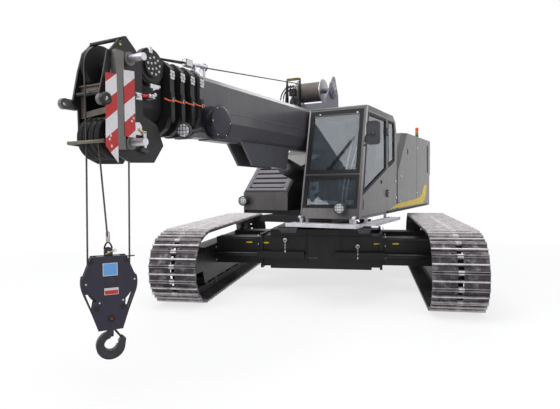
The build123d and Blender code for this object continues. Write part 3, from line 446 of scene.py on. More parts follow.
@dataclass(frozen=True)
class Bands:
    """Diagonal warning bands along a plate, on its own UV map in metres."""

    name: str = "red_white_bands"
    first: Colour = (0.42, 0.012, 0.010)
    second: Colour = (0.66, 0.63, 0.66)
    pitch: float = 0.2985

    def build(self) -> bpy.types.Material:
        """Return the finished material."""
        s = Shader(self.name)
        split = s.node("ShaderNodeSeparateXYZ", Vector=s.place.outputs["UV"])
        turn = s.calc("MULTIPLY", s.calc("ADD", split.outputs["Y"], split.outputs["X"]), 1.0 / self.pitch)
        colour = s.mix(s.calc("GREATER_THAN", s.calc("FRACT", turn), 0.5), self.first, self.second)
        grime = s.spread(s.noise(26.0, 6.0, 0.7), 0.0, 0.25, 0.5, 0.8)
        s.set(Base_Color=s.mix(grime, colour, (0.16, 0.14, 0.14)),
              Roughness=s.spread(s.noise(45.0), 0.32, 0.5))
        s.bump(s.noise(380.0, 1.0), 0.0002, 0.4)
        return s.material


@dataclass(frozen=True)
class LaidRope:
    """Wire rope: strands drawn round it on a UV map whose first axis runs along it in metres, dark in the grooves
    between strands as painted shade.
    """

    name: str = "wire_rope"
    colour: Colour = (0.16, 0.135, 0.12)
    # dark: painted shade in the grooves between strands
    dark: Colour = (0.03, 0.025, 0.022)
    lay: float = 0.1
    strands: int = 8

    def build(self) -> bpy.types.Material:
        """Return the finished material."""
        s = Shader(self.name)
        split = s.node("ShaderNodeSeparateXYZ", Vector=s.place.outputs["UV"])
        along = s.calc("MULTIPLY", split.outputs["X"], 1.0 / self.lay)
        turns = s.calc("MULTIPLY", s.calc("ADD", along, split.outputs["Y"]), math.tau * self.strands)
        fac = s.spread(s.calc("SINE", turns), 0.0, 1.0, -1.0, 1.0)
        tone = s.ramp(s.noise(8.0, 5.0, 0.7), [(0.3, shade(self.colour, 0.7)), (0.7, self.colour)])
        # the sine runs dark in the grooves and light on the strands' crowns, a painted shade over the bump
        s.set(Base_Color=s.mix(fac, self.dark, tone), Metallic=0.6, Roughness=0.5)
        s.bump(fac, 0.002, 0.8)
        return s.material


class Finish(Enum):
    """Every finish on the machine."""

    BODY = Paint("grey_body_paint", (0.088, 0.081, 0.081), rough=0.34, metal=0.25, coat=0.35)
    # a light grey that only paints a highlight on the cab's roof edges, front pillars and the bar between its screens
    FRAME = Paint("painted_edge_highlight", (0.26, 0.245, 0.255), rough=0.36, metal=0.2, coat=0.3)
    BOOM = Paint("boom_paint", (0.082, 0.079, 0.088), rough=0.32, metal=0.3, coat=0.35, dusty=0.08)
    WINCH = Paint("winch_frame_paint", (0.135, 0.135, 0.170), rough=0.42, metal=0.15, coat=0.15)
    BLACK = Paint("black_frame_paint", (0.009, 0.008, 0.009), dust=(0.05, 0.042, 0.04), rough=0.42,
                  metal=0.1, coat=0.12, dusty=0.15)
    DARK = Paint("dark_section_paint", (0.016, 0.0145, 0.016), dust=(0.06, 0.052, 0.05), rough=0.42,
                 metal=0.1, coat=0.15, dusty=0.12)
    NAVY = Paint("navy_block_paint", (0.022, 0.020, 0.036), dust=(0.07, 0.062, 0.075), rough=0.42,
                 metal=0.1, coat=0.2, dusty=0.12)
    BASE = Paint("base_panel_paint", (0.040, 0.040, 0.050), rough=0.45, metal=0.2, coat=0.1, dusty=0.3)
    LID = Paint("louvre_lid_paint", (0.17, 0.16, 0.178), rough=0.40, metal=0.2, coat=0.2)
    POST = Paint("post_paint", (0.13, 0.118, 0.115), rough=0.55, metal=0.1, coat=0.05)
    OLIVE = Paint("olive_rod_paint", (0.14, 0.125, 0.095), rough=0.42, metal=0.3, coat=0.15)
    YELLOW = Paint("yellow_stripe_film", (0.80, 0.55, 0.004), dust=(0.5, 0.36, 0.04), rough=0.45,
                   metal=0.0, coat=0.1, dusty=0.06)
    BLUE = Paint("blue_plate_enamel", (0.11, 0.33, 0.68), dust=(0.4, 0.5, 0.6), rough=0.35, metal=0.0)
    WHITE = Paint("white_enamel", (0.62, 0.60, 0.60), dust=(0.35, 0.3, 0.3), rough=0.4, metal=0.0)
    RED = Paint("red_enamel", (0.50, 0.012, 0.016), dust=(0.4, 0.2, 0.2), rough=0.35, metal=0.0)
    SHOE = WornShadedShoe()
    STEEL = BareSteel("machined_steel", (0.46, 0.45, 0.46), (0.12, 0.10, 0.09))
    CHROME = BareSteel("chrome_plate", (0.78, 0.78, 0.80), (0.45, 0.45, 0.47), rough=0.14, stained=0.1,
                       grain=0.0001)
    ZINC = BareSteel("galvanised_steel", (0.66, 0.65, 0.70), (0.38, 0.37, 0.42), rough=0.42, stained=0.4)
    BRASS = BareSteel("brass_pin", (0.55, 0.42, 0.13), (0.25, 0.18, 0.06), rough=0.35)
    FERRULE = BareSteel("pressed_ferrule", (0.52, 0.45, 0.46), (0.3, 0.25, 0.26), rough=0.4)
    FORGED = BareSteel("forged_hook_steel", (0.055, 0.052, 0.062), (0.015, 0.014, 0.016), rough=0.42,
                       stained=0.5, grain=0.0012)
    # the darker colour of each rope is the painted shade in its grooves
    ROPE = LaidRope()
    WOUND = LaidRope("wound_rope", (0.30, 0.265, 0.25), (0.10, 0.085, 0.08))
    RUBBER = Moulded("black_rubber", (0.012, 0.011, 0.012), rough=0.62)
    PLASTIC = Moulded("black_plastic", (0.022, 0.018, 0.019), rough=0.42)
    REEL = Moulded("reel_plastic", (0.018, 0.016, 0.026), rough=0.38)
    TRIM = Moulded("grey_green_trim", (0.34, 0.44, 0.42), rough=0.55)
    PALE = Moulded("pale_tube_plastic", (0.82, 0.90, 0.92), rough=0.35)
    LENS_RED = Moulded("red_lens", (0.62, 0.012, 0.018), rough=0.15, depth=0.0001)
    LENS_AMBER = Moulded("amber_lens", (0.75, 0.16, 0.006), rough=0.15, depth=0.0001)
    LENS_GREEN = Moulded("green_lens", (0.008, 0.26, 0.10), rough=0.15, depth=0.0001)
    ORANGE = Moulded("orange_cable_sheath", (0.62, 0.10, 0.012), rough=0.4)
    SEAT = Cloth("seat_cloth", (0.045, 0.045, 0.052))
    GLASS = Glazing("cab_glass_tint", (0.46, 0.53, 0.60))
    LENS = Moulded("lamp_lens_glass", (0.80, 0.81, 0.85), rough=0.16, depth=0.0002)
    BANDS = Bands()
    PINS = PinSteel()

    @property
    def material(self) -> bpy.types.Material:
        """The finish's material, built the first time that it is asked for."""
        found = bpy.data.materials.get(self.value.name)
        return found or self.value.build()


# ---- meshes --------------------------------------------------------------------------------
class Shape:
    """A mesh that is put together from simple closed forms, in one finish or a few.

    Args:
        name: the piece's name.
        body: the body that it rides on.
        finishes: its finishes, the first of them the usual one.
    """

    def __init__(self, name: str, body: str, *finishes: Finish) -> None:
        """Start an empty mesh."""
        self.name = name
        self.body = body
        self.finishes = finishes
        self.mesh = bmesh.new()
        self.uv = self.mesh.loops.layers.uv.new("UVMap")

    def _paint(self, faces: Iterable[bmesh.types.BMFace], slot: int, smooth: bool) -> None:
        """Give faces a finish by its place in the list, and flat or smooth shading."""
        for face in faces:
            face.material_index = slot
            face.smooth = smooth

    def prism(self, points: Sequence[Vector], push: Vector, slot: int = 0, bevel: float = 0.0) -> None:
        """A flat outline pushed along a direction into a closed solid.

        Args:
            points: the outline's corners.
            push: how far and which way.
            slot: place of its finish.
            bevel: width of its eased edges.
        """
        base = [self.mesh.verts.new(p) for p in points]
        top = [self.mesh.verts.new(p + push) for p in points]
        faces = [self.mesh.faces.new(base[::-1]), self.mesh.faces.new(top)]
        count = len(points)
        faces += [self.mesh.faces.new((base[i], base[(i + 1) % count], top[(i + 1) % count], top[i]))
                  for i in range(count)]
        bmesh.ops.recalc_face_normals(self.mesh, faces=faces)
        if bevel:
            edges = list(dict.fromkeys(edge for face in faces for edge in face.edges))
            made = bmesh.ops.bevel(self.mesh, geom=edges, offset=bevel, segments=2, profile=0.6,
                                   affect="EDGES", clamp_overlap=True)
            faces = [f for f in faces if f.is_valid] + made["faces"]
        self._paint(faces, slot, bool(bevel) and bevel > 0.004)

    def slab(self, bearing: Bearing, low: Triple, high: Triple, slot: int = 0, bevel: float = 0.0) -> None:
        """A box between two corners given as u, w and z on a body."""
        (u0, w0, z0), (u1, w1, z1) = low, high
        corners = [bearing.at(u, w, z0) for u, w in ((u0, w0), (u1, w0), (u1, w1), (u0, w1))]
        self.prism(corners, Vector((0.0, 0.0, z1 - z0)), slot, bevel)

    def plate(self, bearing: Bearing, outline: Sequence[Pair], u: float, thick: float, slot: int = 0,
              bevel: float = 0.0) -> None:
        """An upright plate: its outline as w and z, from u over its thickness to the left."""
        self.prism([bearing.at(u, w, z) for w, z in outline], bearing.along(thick, 0, 0), slot, bevel)

    def face_plate(self, bearing: Bearing, outline: Sequence[Pair], w: float, thick: float, slot: int = 0,
                   bevel: float = 0.0) -> None:
        """An upright plate across the body: outline as u and z, from w forward."""
        self.prism([bearing.at(u, w, z) for u, z in outline], bearing.along(0, thick, 0), slot, bevel)

    def border(self, points: Sequence[Vector], push: Vector, width: float, slot: int = 0) -> None:
        """A flat mitred frame inside an outline.

        Args:
            points: the outline's corners, all in one plane.
            push: the frame's thickness and direction, at right angles to that plane.
            width: how far it reaches inwards.
            slot: place of its finish.
        """
        count = len(points)
        middle = sum(points, Vector()) / count
        normal = push.normalized()
        inner = []
        for i, point in enumerate(points):
            before = normal.cross((point - points[i - 1]).normalized())
            after = normal.cross((points[(i + 1) % count] - point).normalized())
            inner.append((before + after) * (width / (1 + before.dot(after))))
        way = 1.0 if sum((middle - p).dot(v) for p, v in zip(points, inner)) > 0 else -1.0
        rows = [[self.mesh.verts.new(p + v * share * way + push * lift) for p, v in zip(points, inner)]
                for share, lift in ((0, 0), (0, 1), (1, 1), (1, 0))]
        faces = [self.mesh.faces.new((rows[r][i], rows[r][(i + 1) % count], rows[(r + 1) % 4][(i + 1) % count],
                                      rows[(r + 1) % 4][i])) for r in range(4) for i in range(count)]
        bmesh.ops.recalc_face_normals(self.mesh, faces=faces)
        self._paint(faces, slot, False)

    def rim(self, bearing: Bearing, outline: Sequence[Pair], u: float, thick: float, width: float,
            slot: int = 0) -> None:
        """An upright mitred frame: its outline as w and z, from u over its thickness to the left."""
        self.border([bearing.at(u, w, z) for w, z in outline], bearing.along(thick, 0, 0), width, slot)

    def face_rim(self, bearing: Bearing, outline: Sequence[Pair], w: float, thick: float, width: float,
                 slot: int = 0) -> None:
        """An upright mitred frame across the body: outline as u and z, from w forward."""
        self.border([bearing.at(u, w, z) for u, z in outline], bearing.along(0, thick, 0), width, slot)

    def rod(self, start: Vector, end: Vector, radius: float, slot: int = 0, sides: int = 20,
            tip: float | None = None, smooth: bool = True) -> None:
        """A round bar, or a cone where the tip's radius differs."""
        run = end - start
        turn = run.to_track_quat("Z", "Y").to_matrix().to_4x4()
        place = Matrix.Translation((start + end) / 2) @ turn
        made = bmesh.ops.create_cone(self.mesh, cap_ends=True, cap_tris=False, segments=sides, radius1=radius,
                                     radius2=radius if tip is None else tip, depth=run.length, matrix=place)
        faces = {face for vert in made["verts"] for face in vert.link_faces}
        self._paint(faces, slot, False)
        for face in faces:
            face.smooth = smooth and len(face.verts) == 4

    def ring(self, centre: Vector, axis: Vector, radius: float, thick: float, slot: int = 0,
             sides: int = 32, tube: int = 10, height: float | None = None) -> None:
        """A torus, flattened or drawn out along its axis where a height is given."""
        turn = axis.to_track_quat("Z", "Y").to_matrix()
        half = thick if height is None else height
        rows = []
        for i in range(sides):
            angle = math.tau * i / sides
            row = []
            for j in range(tube):
                swing = math.tau * j / tube
                reach = radius + thick * math.cos(swing)
                row.append(self.mesh.verts.new(centre + turn @ Vector(
                    (reach * math.cos(angle), reach * math.sin(angle), half * math.sin(swing)))))
            rows.append(row)
        faces = [self.mesh.faces.new((rows[i][j], rows[(i + 1) % sides][j],
                                      rows[(i + 1) % sides][(j + 1) % tube], rows[i][(j + 1) % tube]))
                 for i in range(sides) for j in range(tube)]
        bmesh.ops.recalc_face_normals(self.mesh, faces=faces)
        self._paint(faces, slot, True)

    def turned(self, profile: Sequence[Pair], centre: Vector, axis: Vector, slot: int = 0,
               sides: int = 40) -> None:
        """A closed turned form.

        Args:
            profile: corners as radius and height along the axis, radius 0 at both ends for a solid one.
            centre: foot of the axis.
            axis: its direction.
            slot: place of its finish.
            sides: steps round it.
        """
        turn = axis.to_track_quat("Z", "Y").to_matrix()
        rows: list[list[bmesh.types.BMVert]] = []
        for radius, height in profile:
            count = 1 if radius < 1e-6 else sides
            rows.append([self.mesh.verts.new(centre + turn @ Vector(
                (radius * math.cos(math.tau * i / sides), radius * math.sin(math.tau * i / sides), height)))
                for i in range(count)])
        if profile[0][0] > 1e-6:
            rows.append(rows[0])
        faces = []
        for first, second in zip(rows, rows[1:]):
            for i in range(sides):
                ring = [first[i % len(first)], first[(i + 1) % len(first)],
                        second[(i + 1) % len(second)], second[i % len(second)]]
                corners = list(dict.fromkeys(ring))
                if len(corners) > 2:
                    faces.append(self.mesh.faces.new(corners))
        bmesh.ops.recalc_face_normals(self.mesh, faces=faces)
        self._paint(faces, slot, True)

    def pipe(self, points: Sequence[Vector], radius: float, slot: int = 0, sides: int = 10,
             closed: bool = False) -> None:
        """A round tube through points, with UVs in metres along it and turns round it."""
        count = len(points)
        rows, travel, lengths = [], 0.0, []
        for i, point in enumerate(points):
            before = points[(i - 1) % count] if closed else points[max(i - 1, 0)]
            after = points[(i + 1) % count] if closed else points[min(i + 1, count - 1)]
            run = (after - before).normalized()
            side = run.cross(UPWARD)
            if side.length < 1e-4:
                side = run.cross(Vector((1.0, 0.0, 0.0)))
            side.normalize()
            over = side.cross(run).normalized()
            rows.append([self.mesh.verts.new(point + radius * (math.cos(math.tau * j / sides) * side
                                                              + math.sin(math.tau * j / sides) * over))
                         for j in range(sides)])
            lengths.append(travel)
            travel += (points[(i + 1) % count] - point).length
        faces = []
        spans = range(count) if closed else range(count - 1)
        for i in spans:
            far = (i + 1) % count
            for j in range(sides):
                turn = (j + 1) % sides
                face = self.mesh.faces.new((rows[i][j], rows[i][turn], rows[far][turn], rows[far][j]))
                end = lengths[i] + (points[far] - points[i]).length
                for loop, uv in zip(face.loops, ((lengths[i], j / sides), (lengths[i], (j + 1) / sides),
                                                 (end, (j + 1) / sides), (end, j / sides))):
                    loop[self.uv].uv = uv
                faces.append(face)
        if not closed:
            faces += [self.mesh.faces.new(rows[0][::-1]), self.mesh.faces.new(rows[-1])]
        bmesh.ops.recalc_face_normals(self.mesh, faces=faces)
        self._paint(faces, slot, True)

    def pattern(self) -> bpy.types.Object:
        """Make an object that only serves as a pattern for copies."""
        data = bpy.data.meshes.new(self.name)
        self.mesh.to_mesh(data)
        self.mesh.free()
        made = bpy.data.objects.new(self.name, data)
        bpy.context.scene.collection.objects.link(made)
        return made

    def done(self, slot: str, replaces: Sequence[str] = (), ease: float = 0.0) -> bpy.types.Object:
        """Make the object and hand it to its body.

        Args:
            slot: name of the record's material slot, not used.
            replaces: CAD nodes that it stands for.
            ease: width of a bevel round every sharp edge.

        Returns:
            The finished object.
        """
        made = self.pattern()
        for finish in self.finishes:
            made.data.materials.append(finish.material)
        if ease:
            bevel = made.modifiers.new("eased edges", "BEVEL")
            bevel.width = ease
            bevel.segments = 2
            bevel.limit_method = "ANGLE"
            bevel.harden_normals = False
        return settle(made, self.body, slot, replaces)


def flatten(made: bpy.types.Object) -> None:
    """Replace an object's mesh by the plain result of its modifiers."""
    bpy.context.view_layer.update()
    graph = bpy.context.evaluated_depsgraph_get()
    plain = bpy.data.meshes.new_from_object(made.evaluated_get(graph), depsgraph=graph)
    made.modifiers.clear()
    made.data = plain


def settle(made: bpy.types.Object, body: str, slot: str, replaces: Sequence[str] = ()) -> bpy.types.Object:
    """Apply what modifiers a piece has, and hand it to its body.

    Args:
        made: the object.
        body: body that it rides on.
        slot: name of a material slot, not used.
        replaces: CAD nodes that it stands for.

    Returns:
        The same object with a plain mesh.
    """
    if made.modifiers:
        flatten(made)
    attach(made, body)
    if replaces:
        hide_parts(*replaces)
    LOG.info("%s rides on %s with %d faces", made.name, body, len(made.data.polygons))
    return made


# ---- geometry nodes ------------------------------------------------------------------------
class Graph:
    """A geometry node group whose inputs have names and whose last nodes realize and paint.

    Args:
        name: the group's name.
    """

    def __init__(self, name: str) -> None:
        """Start a group with a geometry socket at either end."""
        self.tree = bpy.data.node_groups.new(name, "GeometryNodeTree")
        face = self.tree.interface
        self.sockets = {"Geometry": face.new_socket("Geometry", in_out="INPUT", socket_type="NodeSocketGeometry")}
        face.new_socket("Geometry", in_out="OUTPUT", socket_type="NodeSocketGeometry")
        self.start = self.tree.nodes.new("NodeGroupInput")
        self.end = self.tree.nodes.new("NodeGroupOutput")

    def input(self, name: str, kind: str) -> None:
        """Add a named input."""
        self.sockets[name] = self.tree.interface.new_socket(name, in_out="INPUT", socket_type=kind)

    def add(self, kind: str, inputs: dict[str, object] | None = None, **props: object) -> bpy.types.Node:
        """Add a node.

        Args:
            kind: the node's type name.
            inputs: sockets to link, or plain values, by the input's name.
            **props: properties of the node.

        Returns:
            The new node.
        """
        made = self.tree.nodes.new(kind)
        for key, value in props.items():
            setattr(made, key, value)
        for key, value in (inputs or {}).items():
            target = next(s for s in made.inputs if s.name == key and s.enabled)
            feed(self.tree, target, value)
        return made

    def close(self, geometry: bpy.types.NodeSocket) -> None:
        """Realize what comes in, paint it and send it out."""
        whole = self.add("GeometryNodeRealizeInstances", {"Geometry": geometry})
        painted = self.add("GeometryNodeSetMaterial", {"Geometry": whole.outputs[0],
                                                       "Material": self.start.outputs["Material"]})
        self.tree.links.new(painted.outputs[0], self.end.inputs[0])

    def grow(self, name: str, mesh: bpy.types.Mesh, finish: Finish, **values: object) -> bpy.types.Object:
        """Run the group on a mesh and keep the plain result.

        Args:
            name: the new piece's name.
            mesh: points or edges that the group starts from.
            finish: finish of the result.
            **values: the group's inputs by name.

        Returns:
            An object with a plain mesh.
        """
        made = bpy.data.objects.new(name, mesh)
        bpy.context.scene.collection.objects.link(made)
        runner = made.modifiers.new("grow", "NODES")
        runner.node_group = self.tree
        for key, value in {**values, "Material": finish.material}.items():
            runner[self.sockets[key].identifier] = value
        flatten(made)
        return made


def copies_graph() -> Graph:
    """Group that sets a copy of one mesh on every point, turned by the attribute "turn"."""
    graph = Graph("copies at places")
    for name, kind in (("Pattern", "Object"), ("Size", "Float"), ("Material", "Material")):
        graph.input(name, f"NodeSocket{kind}")
    pattern = graph.add("GeometryNodeObjectInfo", {"Object": graph.start.outputs["Pattern"]})
    turn = graph.add("GeometryNodeInputNamedAttribute", {"Name": "turn"}, data_type="FLOAT_VECTOR")
    size = graph.add("ShaderNodeCombineXYZ", {axis: graph.start.outputs["Size"] for axis in "XYZ"})
    laid = graph.add("GeometryNodeInstanceOnPoints", {
        "Points": graph.start.outputs["Geometry"], "Instance": pattern.outputs["Geometry"],
        "Rotation": turn.outputs[0], "Scale": size.outputs[0]})
    graph.close(laid.outputs[0])
    return graph


def rope_graph() -> Graph:
    """Group that draws a round rope along edges, with its length and turn as a UV map."""
    graph = Graph("rope along a path")
    for name, kind in (("Radius", "Float"), ("Sides", "Int"), ("Material", "Material")):
        graph.input(name, f"NodeSocket{kind}")
    curve = graph.add("GeometryNodeMeshToCurve", {"Mesh": graph.start.outputs["Geometry"]})
    along = graph.add("GeometryNodeSplineParameter")
    kept = graph.add("GeometryNodeStoreNamedAttribute", {
        "Geometry": curve.outputs[0], "Name": "along", "Value": along.outputs["Length"]}, domain="POINT")
    section = graph.add("GeometryNodeCurvePrimitiveCircle", {
        "Resolution": graph.start.outputs["Sides"], "Radius": graph.start.outputs["Radius"]})
    turned = graph.add("GeometryNodeStoreNamedAttribute", {
        "Geometry": section.outputs[0], "Name": "around", "Value": along.outputs["Factor"]}, domain="POINT")
    tube = graph.add("GeometryNodeCurveToMesh", {
        "Curve": kept.outputs[0], "Profile Curve": turned.outputs[0], "Fill Caps": True})
    x = graph.add("GeometryNodeInputNamedAttribute", {"Name": "along"}, data_type="FLOAT")
    y = graph.add("GeometryNodeInputNamedAttribute", {"Name": "around"}, data_type="FLOAT")
    both = graph.add("ShaderNodeCombineXYZ", {"X": x.outputs[0], "Y": y.outputs[0]})
    mapped = graph.add("GeometryNodeStoreNamedAttribute", {
        "Geometry": tube.outputs[0], "Name": "UVMap", "Value": both.outputs[0]}, data_type="FLOAT2", domain="CORNER")
    graph.close(mapped.outputs[0])
    return graph


class Tools:
    """The node groups and small patterns that the sub-assemblies share."""

    def __init__(self) -> None:
        """Build the groups and the bolt patterns once."""
        self.copies = copies_graph()
        self.ropes = rope_graph()
        hexagon = Shape("hexagon_bolt_pattern", "", Finish.ZINC)
        hexagon.rod(Vector((0, 0, 0)), Vector((0, 0, 0.25)), 1.3, sides=20, smooth=False)
        hexagon.rod(Vector((0, 0, 0.2)), Vector((0, 0, 1.0)), 1.0, sides=6, tip=0.93, smooth=False)
        self.hexagon = hexagon.pattern()
        round_head = Shape("round_bolt_pattern", "", Finish.ZINC)
        round_head.turned(((0, -0.1), (1.0, -0.1), (1.0, 0.4), (0.85, 0.7), (0.45, 0.75), (0.38, 0.4), (0, 0.4)),
                          Vector(), UPWARD, sides=16)
        self.round_head = round_head.pattern()

    def lay(self, name: str, body: str, slot: str, finish: Finish, pattern: bpy.types.Object,
            places: Sequence[tuple[Vector, Vector]], size: float) -> bpy.types.Object:
        """Set a pattern at places that face along directions.

        Args:
            name: the new piece's name.
            body: body that it rides on.
            slot: name of a material slot, not used.
            finish: its finish.
            pattern: the mesh to copy.
            places: points and the directions that the pattern's own z takes there.
            size: scale of the pattern.

        Returns:
            The finished piece.
        """
        turns = [axis.to_track_quat("Z", "Y").to_euler() for _, axis in places]
        return self.set_out(name, body, slot, finish, pattern, [p for p, _ in places], turns, size)

    def set_out(self, name: str, body: str, slot: str, finish: Finish, pattern: bpy.types.Object,
                points: Sequence[Vector], turns: Sequence[object], size: float,
                replaces: Sequence[str] = ()) -> bpy.types.Object:
        """Set a pattern at points with turns of their own, as one plain mesh."""
        mesh = bpy.data.meshes.new(name)
        mesh.from_pydata([tuple(p) for p in points], [], [])
        turn = mesh.attributes.new("turn", "FLOAT_VECTOR", "POINT")
        for i, euler in enumerate(turns):
            turn.data[i].vector = tuple(euler)
        made = self.copies.grow(name, mesh, finish, Pattern=pattern, Size=size)
        return settle(made, body, slot, replaces)

    def rope(self, name: str, body: str, runs: Sequence[Sequence[Vector]], radius: float,
             finish: Finish = Finish.ROPE, replaces: Sequence[str] = (), sides: int = 12) -> bpy.types.Object:
        """Draw taut or wound ropes.

        Args:
            name: the new piece's name.
            body: body that it rides on.
            runs: the points of each run.
            radius: the rope's radius.
            finish: its finish.
            replaces: CAD nodes that it stands for.
            sides: steps round it.

        Returns:
            The finished piece.
        """
        points, edges = [], []
        for run in runs:
            edges += [(len(points) + i, len(points) + i + 1) for i in range(len(run) - 1)]
            points += [tuple(p) for p in run]
        mesh = bpy.data.meshes.new(name)
        mesh.from_pydata(points, edges, [])
        made = self.ropes.grow(name, mesh, finish, Radius=radius, Sides=sides)
        for face in made.data.polygons:
            face.use_smooth = True
        return settle(made, body, "rope_steel", replaces)

    def clear(self) -> None:
        """Remove the patterns."""
        for pattern in (self.hexagon, self.round_head):
            bpy.data.objects.remove(pattern)


# ---- studio --------------------------------------------------------------------------------
def background_ray(tree: bpy.types.NodeTree) -> bpy.types.NodeSocket:
    """Socket that is 1 for rays that show the background, straight, mirrored or through glass."""
    path = tree.nodes.new("ShaderNodeLightPath")
    seen = path.outputs["Is Camera Ray"]
    for kind in ("Is Glossy Ray", "Is Transmission Ray"):
        either = tree.nodes.new("ShaderNodeMath")
        either.operation = "MAXIMUM"
        tree.links.new(seen, either.inputs[0])
        tree.links.new(path.outputs[kind], either.inputs[1])
        seen = either.outputs[0]
    return seen


@dataclass
class Studio:
    """Floor, light, backdrop and camera."""

    floor_size: float = 120.0
    floor_colour: Colour = (0.86, 0.86, 0.86)
    floor_white: tuple[float, float] = (0.74, 1.0)
    fade: tuple[float, float] = (3.5, 9.0)
    sky: float = 0.45
    lamps: tuple[tuple[str, Triple, Triple, float, float], ...] = (
        ("overhead", (-1.0, -3.0, 12.0), (0.0, 0.5, 1.5), 10.0, 980.0),
        ("key", (-8.0, -9.0, 8.0), (0.0, 0.0, 1.5), 7.0, 420.0),
        ("fill", (9.0, -7.0, 5.0), (0.0, 0.0, 1.5), 8.0, 260.0),
        ("rim", (3.0, 10.0, 9.0), (0.0, 0.0, 2.0), 8.0, 320.0),
    )
    camera_at: Triple = (0.80534, -8.66319, 1.76357)
    camera_turn: Triple = (10.5603, 2.4462, 0.6202)
    lens: float = 31.05

    def build(self) -> None:
        """Set the stage."""
        self._floor()
        self._light()
        self._camera()
        bpy.context.scene.view_settings.view_transform = "Standard"

    def _floor(self) -> None:
        """A pale floor that keeps the shadow and fades to white away from the machine."""
        half = self.floor_size / 2
        mesh = bpy.data.meshes.new("floor")
        mesh.from_pydata([(-half, -half, 0), (half, -half, 0), (half, half, 0), (-half, half, 0)], [], [(0, 1, 2, 3)])
        floor = bpy.data.objects.new("floor", mesh)
        bpy.context.scene.collection.objects.link(floor)
        s = Shader("pale_floor")
        s.set(Base_Color=s.ramp(s.noise(0.6, 2.0), [(0.3, shade(self.floor_colour, 0.98)),
                                                    (0.7, self.floor_colour)]), Roughness=0.9)
        white = s.node("ShaderNodeEmission", Strength=1.0)
        blend = s.node("ShaderNodeMixShader")
        away = s.node("ShaderNodeVectorMath", operation="LENGTH", Vector=s.place.outputs["Object"])
        faded = s.spread(away.outputs["Value"], *self.floor_white, *self.fade)
        s.link(s.calc("MULTIPLY", background_ray(s.tree), faded), blend.inputs[0])
        s.link(s.shader.outputs["BSDF"], blend.inputs[1])
        s.link(white.outputs[0], blend.inputs[2])
        out = next(n for n in s.tree.nodes if n.type == "OUTPUT_MATERIAL")
        s.link(blend.outputs[0], out.inputs["Surface"])
        mesh.materials.append(s.material)

    def _light(self) -> None:
        """A white sky where the background shows, a softer one for the light, and the large lamps."""
        world = bpy.data.worlds.new("studio")
        bpy.context.scene.world = world
        world.use_nodes = True
        tree = world.node_tree
        tree.nodes.clear()
        seen = tree.nodes.new("ShaderNodeBackground")
        lit = tree.nodes.new("ShaderNodeBackground")
        lit.inputs["Color"].default_value = (0.93, 0.96, 1.0, 1.0)
        lit.inputs["Strength"].default_value = self.sky
        seen.inputs["Color"].default_value = (1.0, 1.0, 1.0, 1.0)
        mixed = tree.nodes.new("ShaderNodeMixShader")
        out = tree.nodes.new("ShaderNodeOutputWorld")
        tree.links.new(background_ray(tree), mixed.inputs[0])
        tree.links.new(lit.outputs[0], mixed.inputs[1])
        tree.links.new(seen.outputs[0], mixed.inputs[2])
        tree.links.new(mixed.outputs[0], out.inputs["Surface"])
        for name, at, aim, size, power in self.lamps:
            lamp = bpy.data.lights.new(name, "AREA")
            lamp.energy = power
            lamp.shape = "DISK"
            lamp.size = size
            holder = bpy.data.objects.new(name, lamp)
            bpy.context.scene.collection.objects.link(holder)
            holder.location = at
            holder.rotation_euler = (Vector(aim) - Vector(at)).to_track_quat("-Z", "Y").to_euler()

    def _camera(self) -> None:
        """The camera at the viewpoint that the machine is known from."""
        data = bpy.data.cameras.new("camera")
        data.lens = self.lens
        data.sensor_width = 36.0
        data.clip_end = 400.0
        camera = bpy.data.objects.new("camera", data)
        bpy.context.scene.collection.objects.link(camera)
        swing, dip, roll = (math.radians(a) for a in self.camera_turn)
        turn = (Matrix.Rotation(swing, 4, "Z") @ Matrix.Rotation(math.pi / 2 - dip, 4, "X")
                @ Matrix.Rotation(-roll, 4, "Z"))
        camera.matrix_world = Matrix.Translation(self.camera_at) @ turn
        bpy.context.scene.camera = camera


# ---- finishes of the frame -----------------------------------------------------------------
NODE_FINISH: dict[str, Finish] = {
    "carbody": Finish.BLACK, "side_frame_left": Finish.BLACK, "side_frame_right": Finish.BLACK,
    "track_left": Finish.SHOE, "track_right": Finish.SHOE, "wheels_left": Finish.BLACK,
    "wheels_right": Finish.BLACK, "deck": Finish.BLACK, "boom_stand": Finish.BODY, "house_left": Finish.BODY,
    "house_right": Finish.BODY, "counterweight": Finish.BODY, "engine": Finish.DARK, "front_box": Finish.BODY,
    "vent_lid": Finish.LID, "cab": Finish.BODY, "cab_glass": Finish.GLASS, "seat": Finish.SEAT,
    "console": Finish.PLASTIC, "steps": Finish.ZINC, "mirror": Finish.PLASTIC, "work_lamps": Finish.PLASTIC,
    "warning_tower": Finish.LENS_RED, "cab_door": Finish.BODY, "door_glass": Finish.GLASS,
    "luff_barrel": Finish.DARK, "luff_rod": Finish.CHROME, "boom_base": Finish.BOOM, "winch_frame": Finish.WINCH,
    "boom_rope": Finish.ROPE, "cable_reel": Finish.REEL, "winch_drum": Finish.STEEL,
    "boom_section_2": Finish.DARK, "boom_section_3": Finish.DARK, "boom_section_4": Finish.DARK,
    "boom_head": Finish.DARK, "jib_pins": Finish.PINS, "head_rope": Finish.ROPE, "upper_sheave": Finish.DARK,
    "lower_sheaves": Finish.DARK, "falls": Finish.ROPE, "block": Finish.NAVY, "block_sheave": Finish.DARK,
    "hook": Finish.FORGED,
}


def dress_nodes(nodes: dict[str, bpy.types.Object]) -> None:
    """Give every CAD node its finish."""
    for name, node in nodes.items():
        finish = NODE_FINISH[name]
        node.data.materials.clear()
        node.data.materials.append(finish.material)


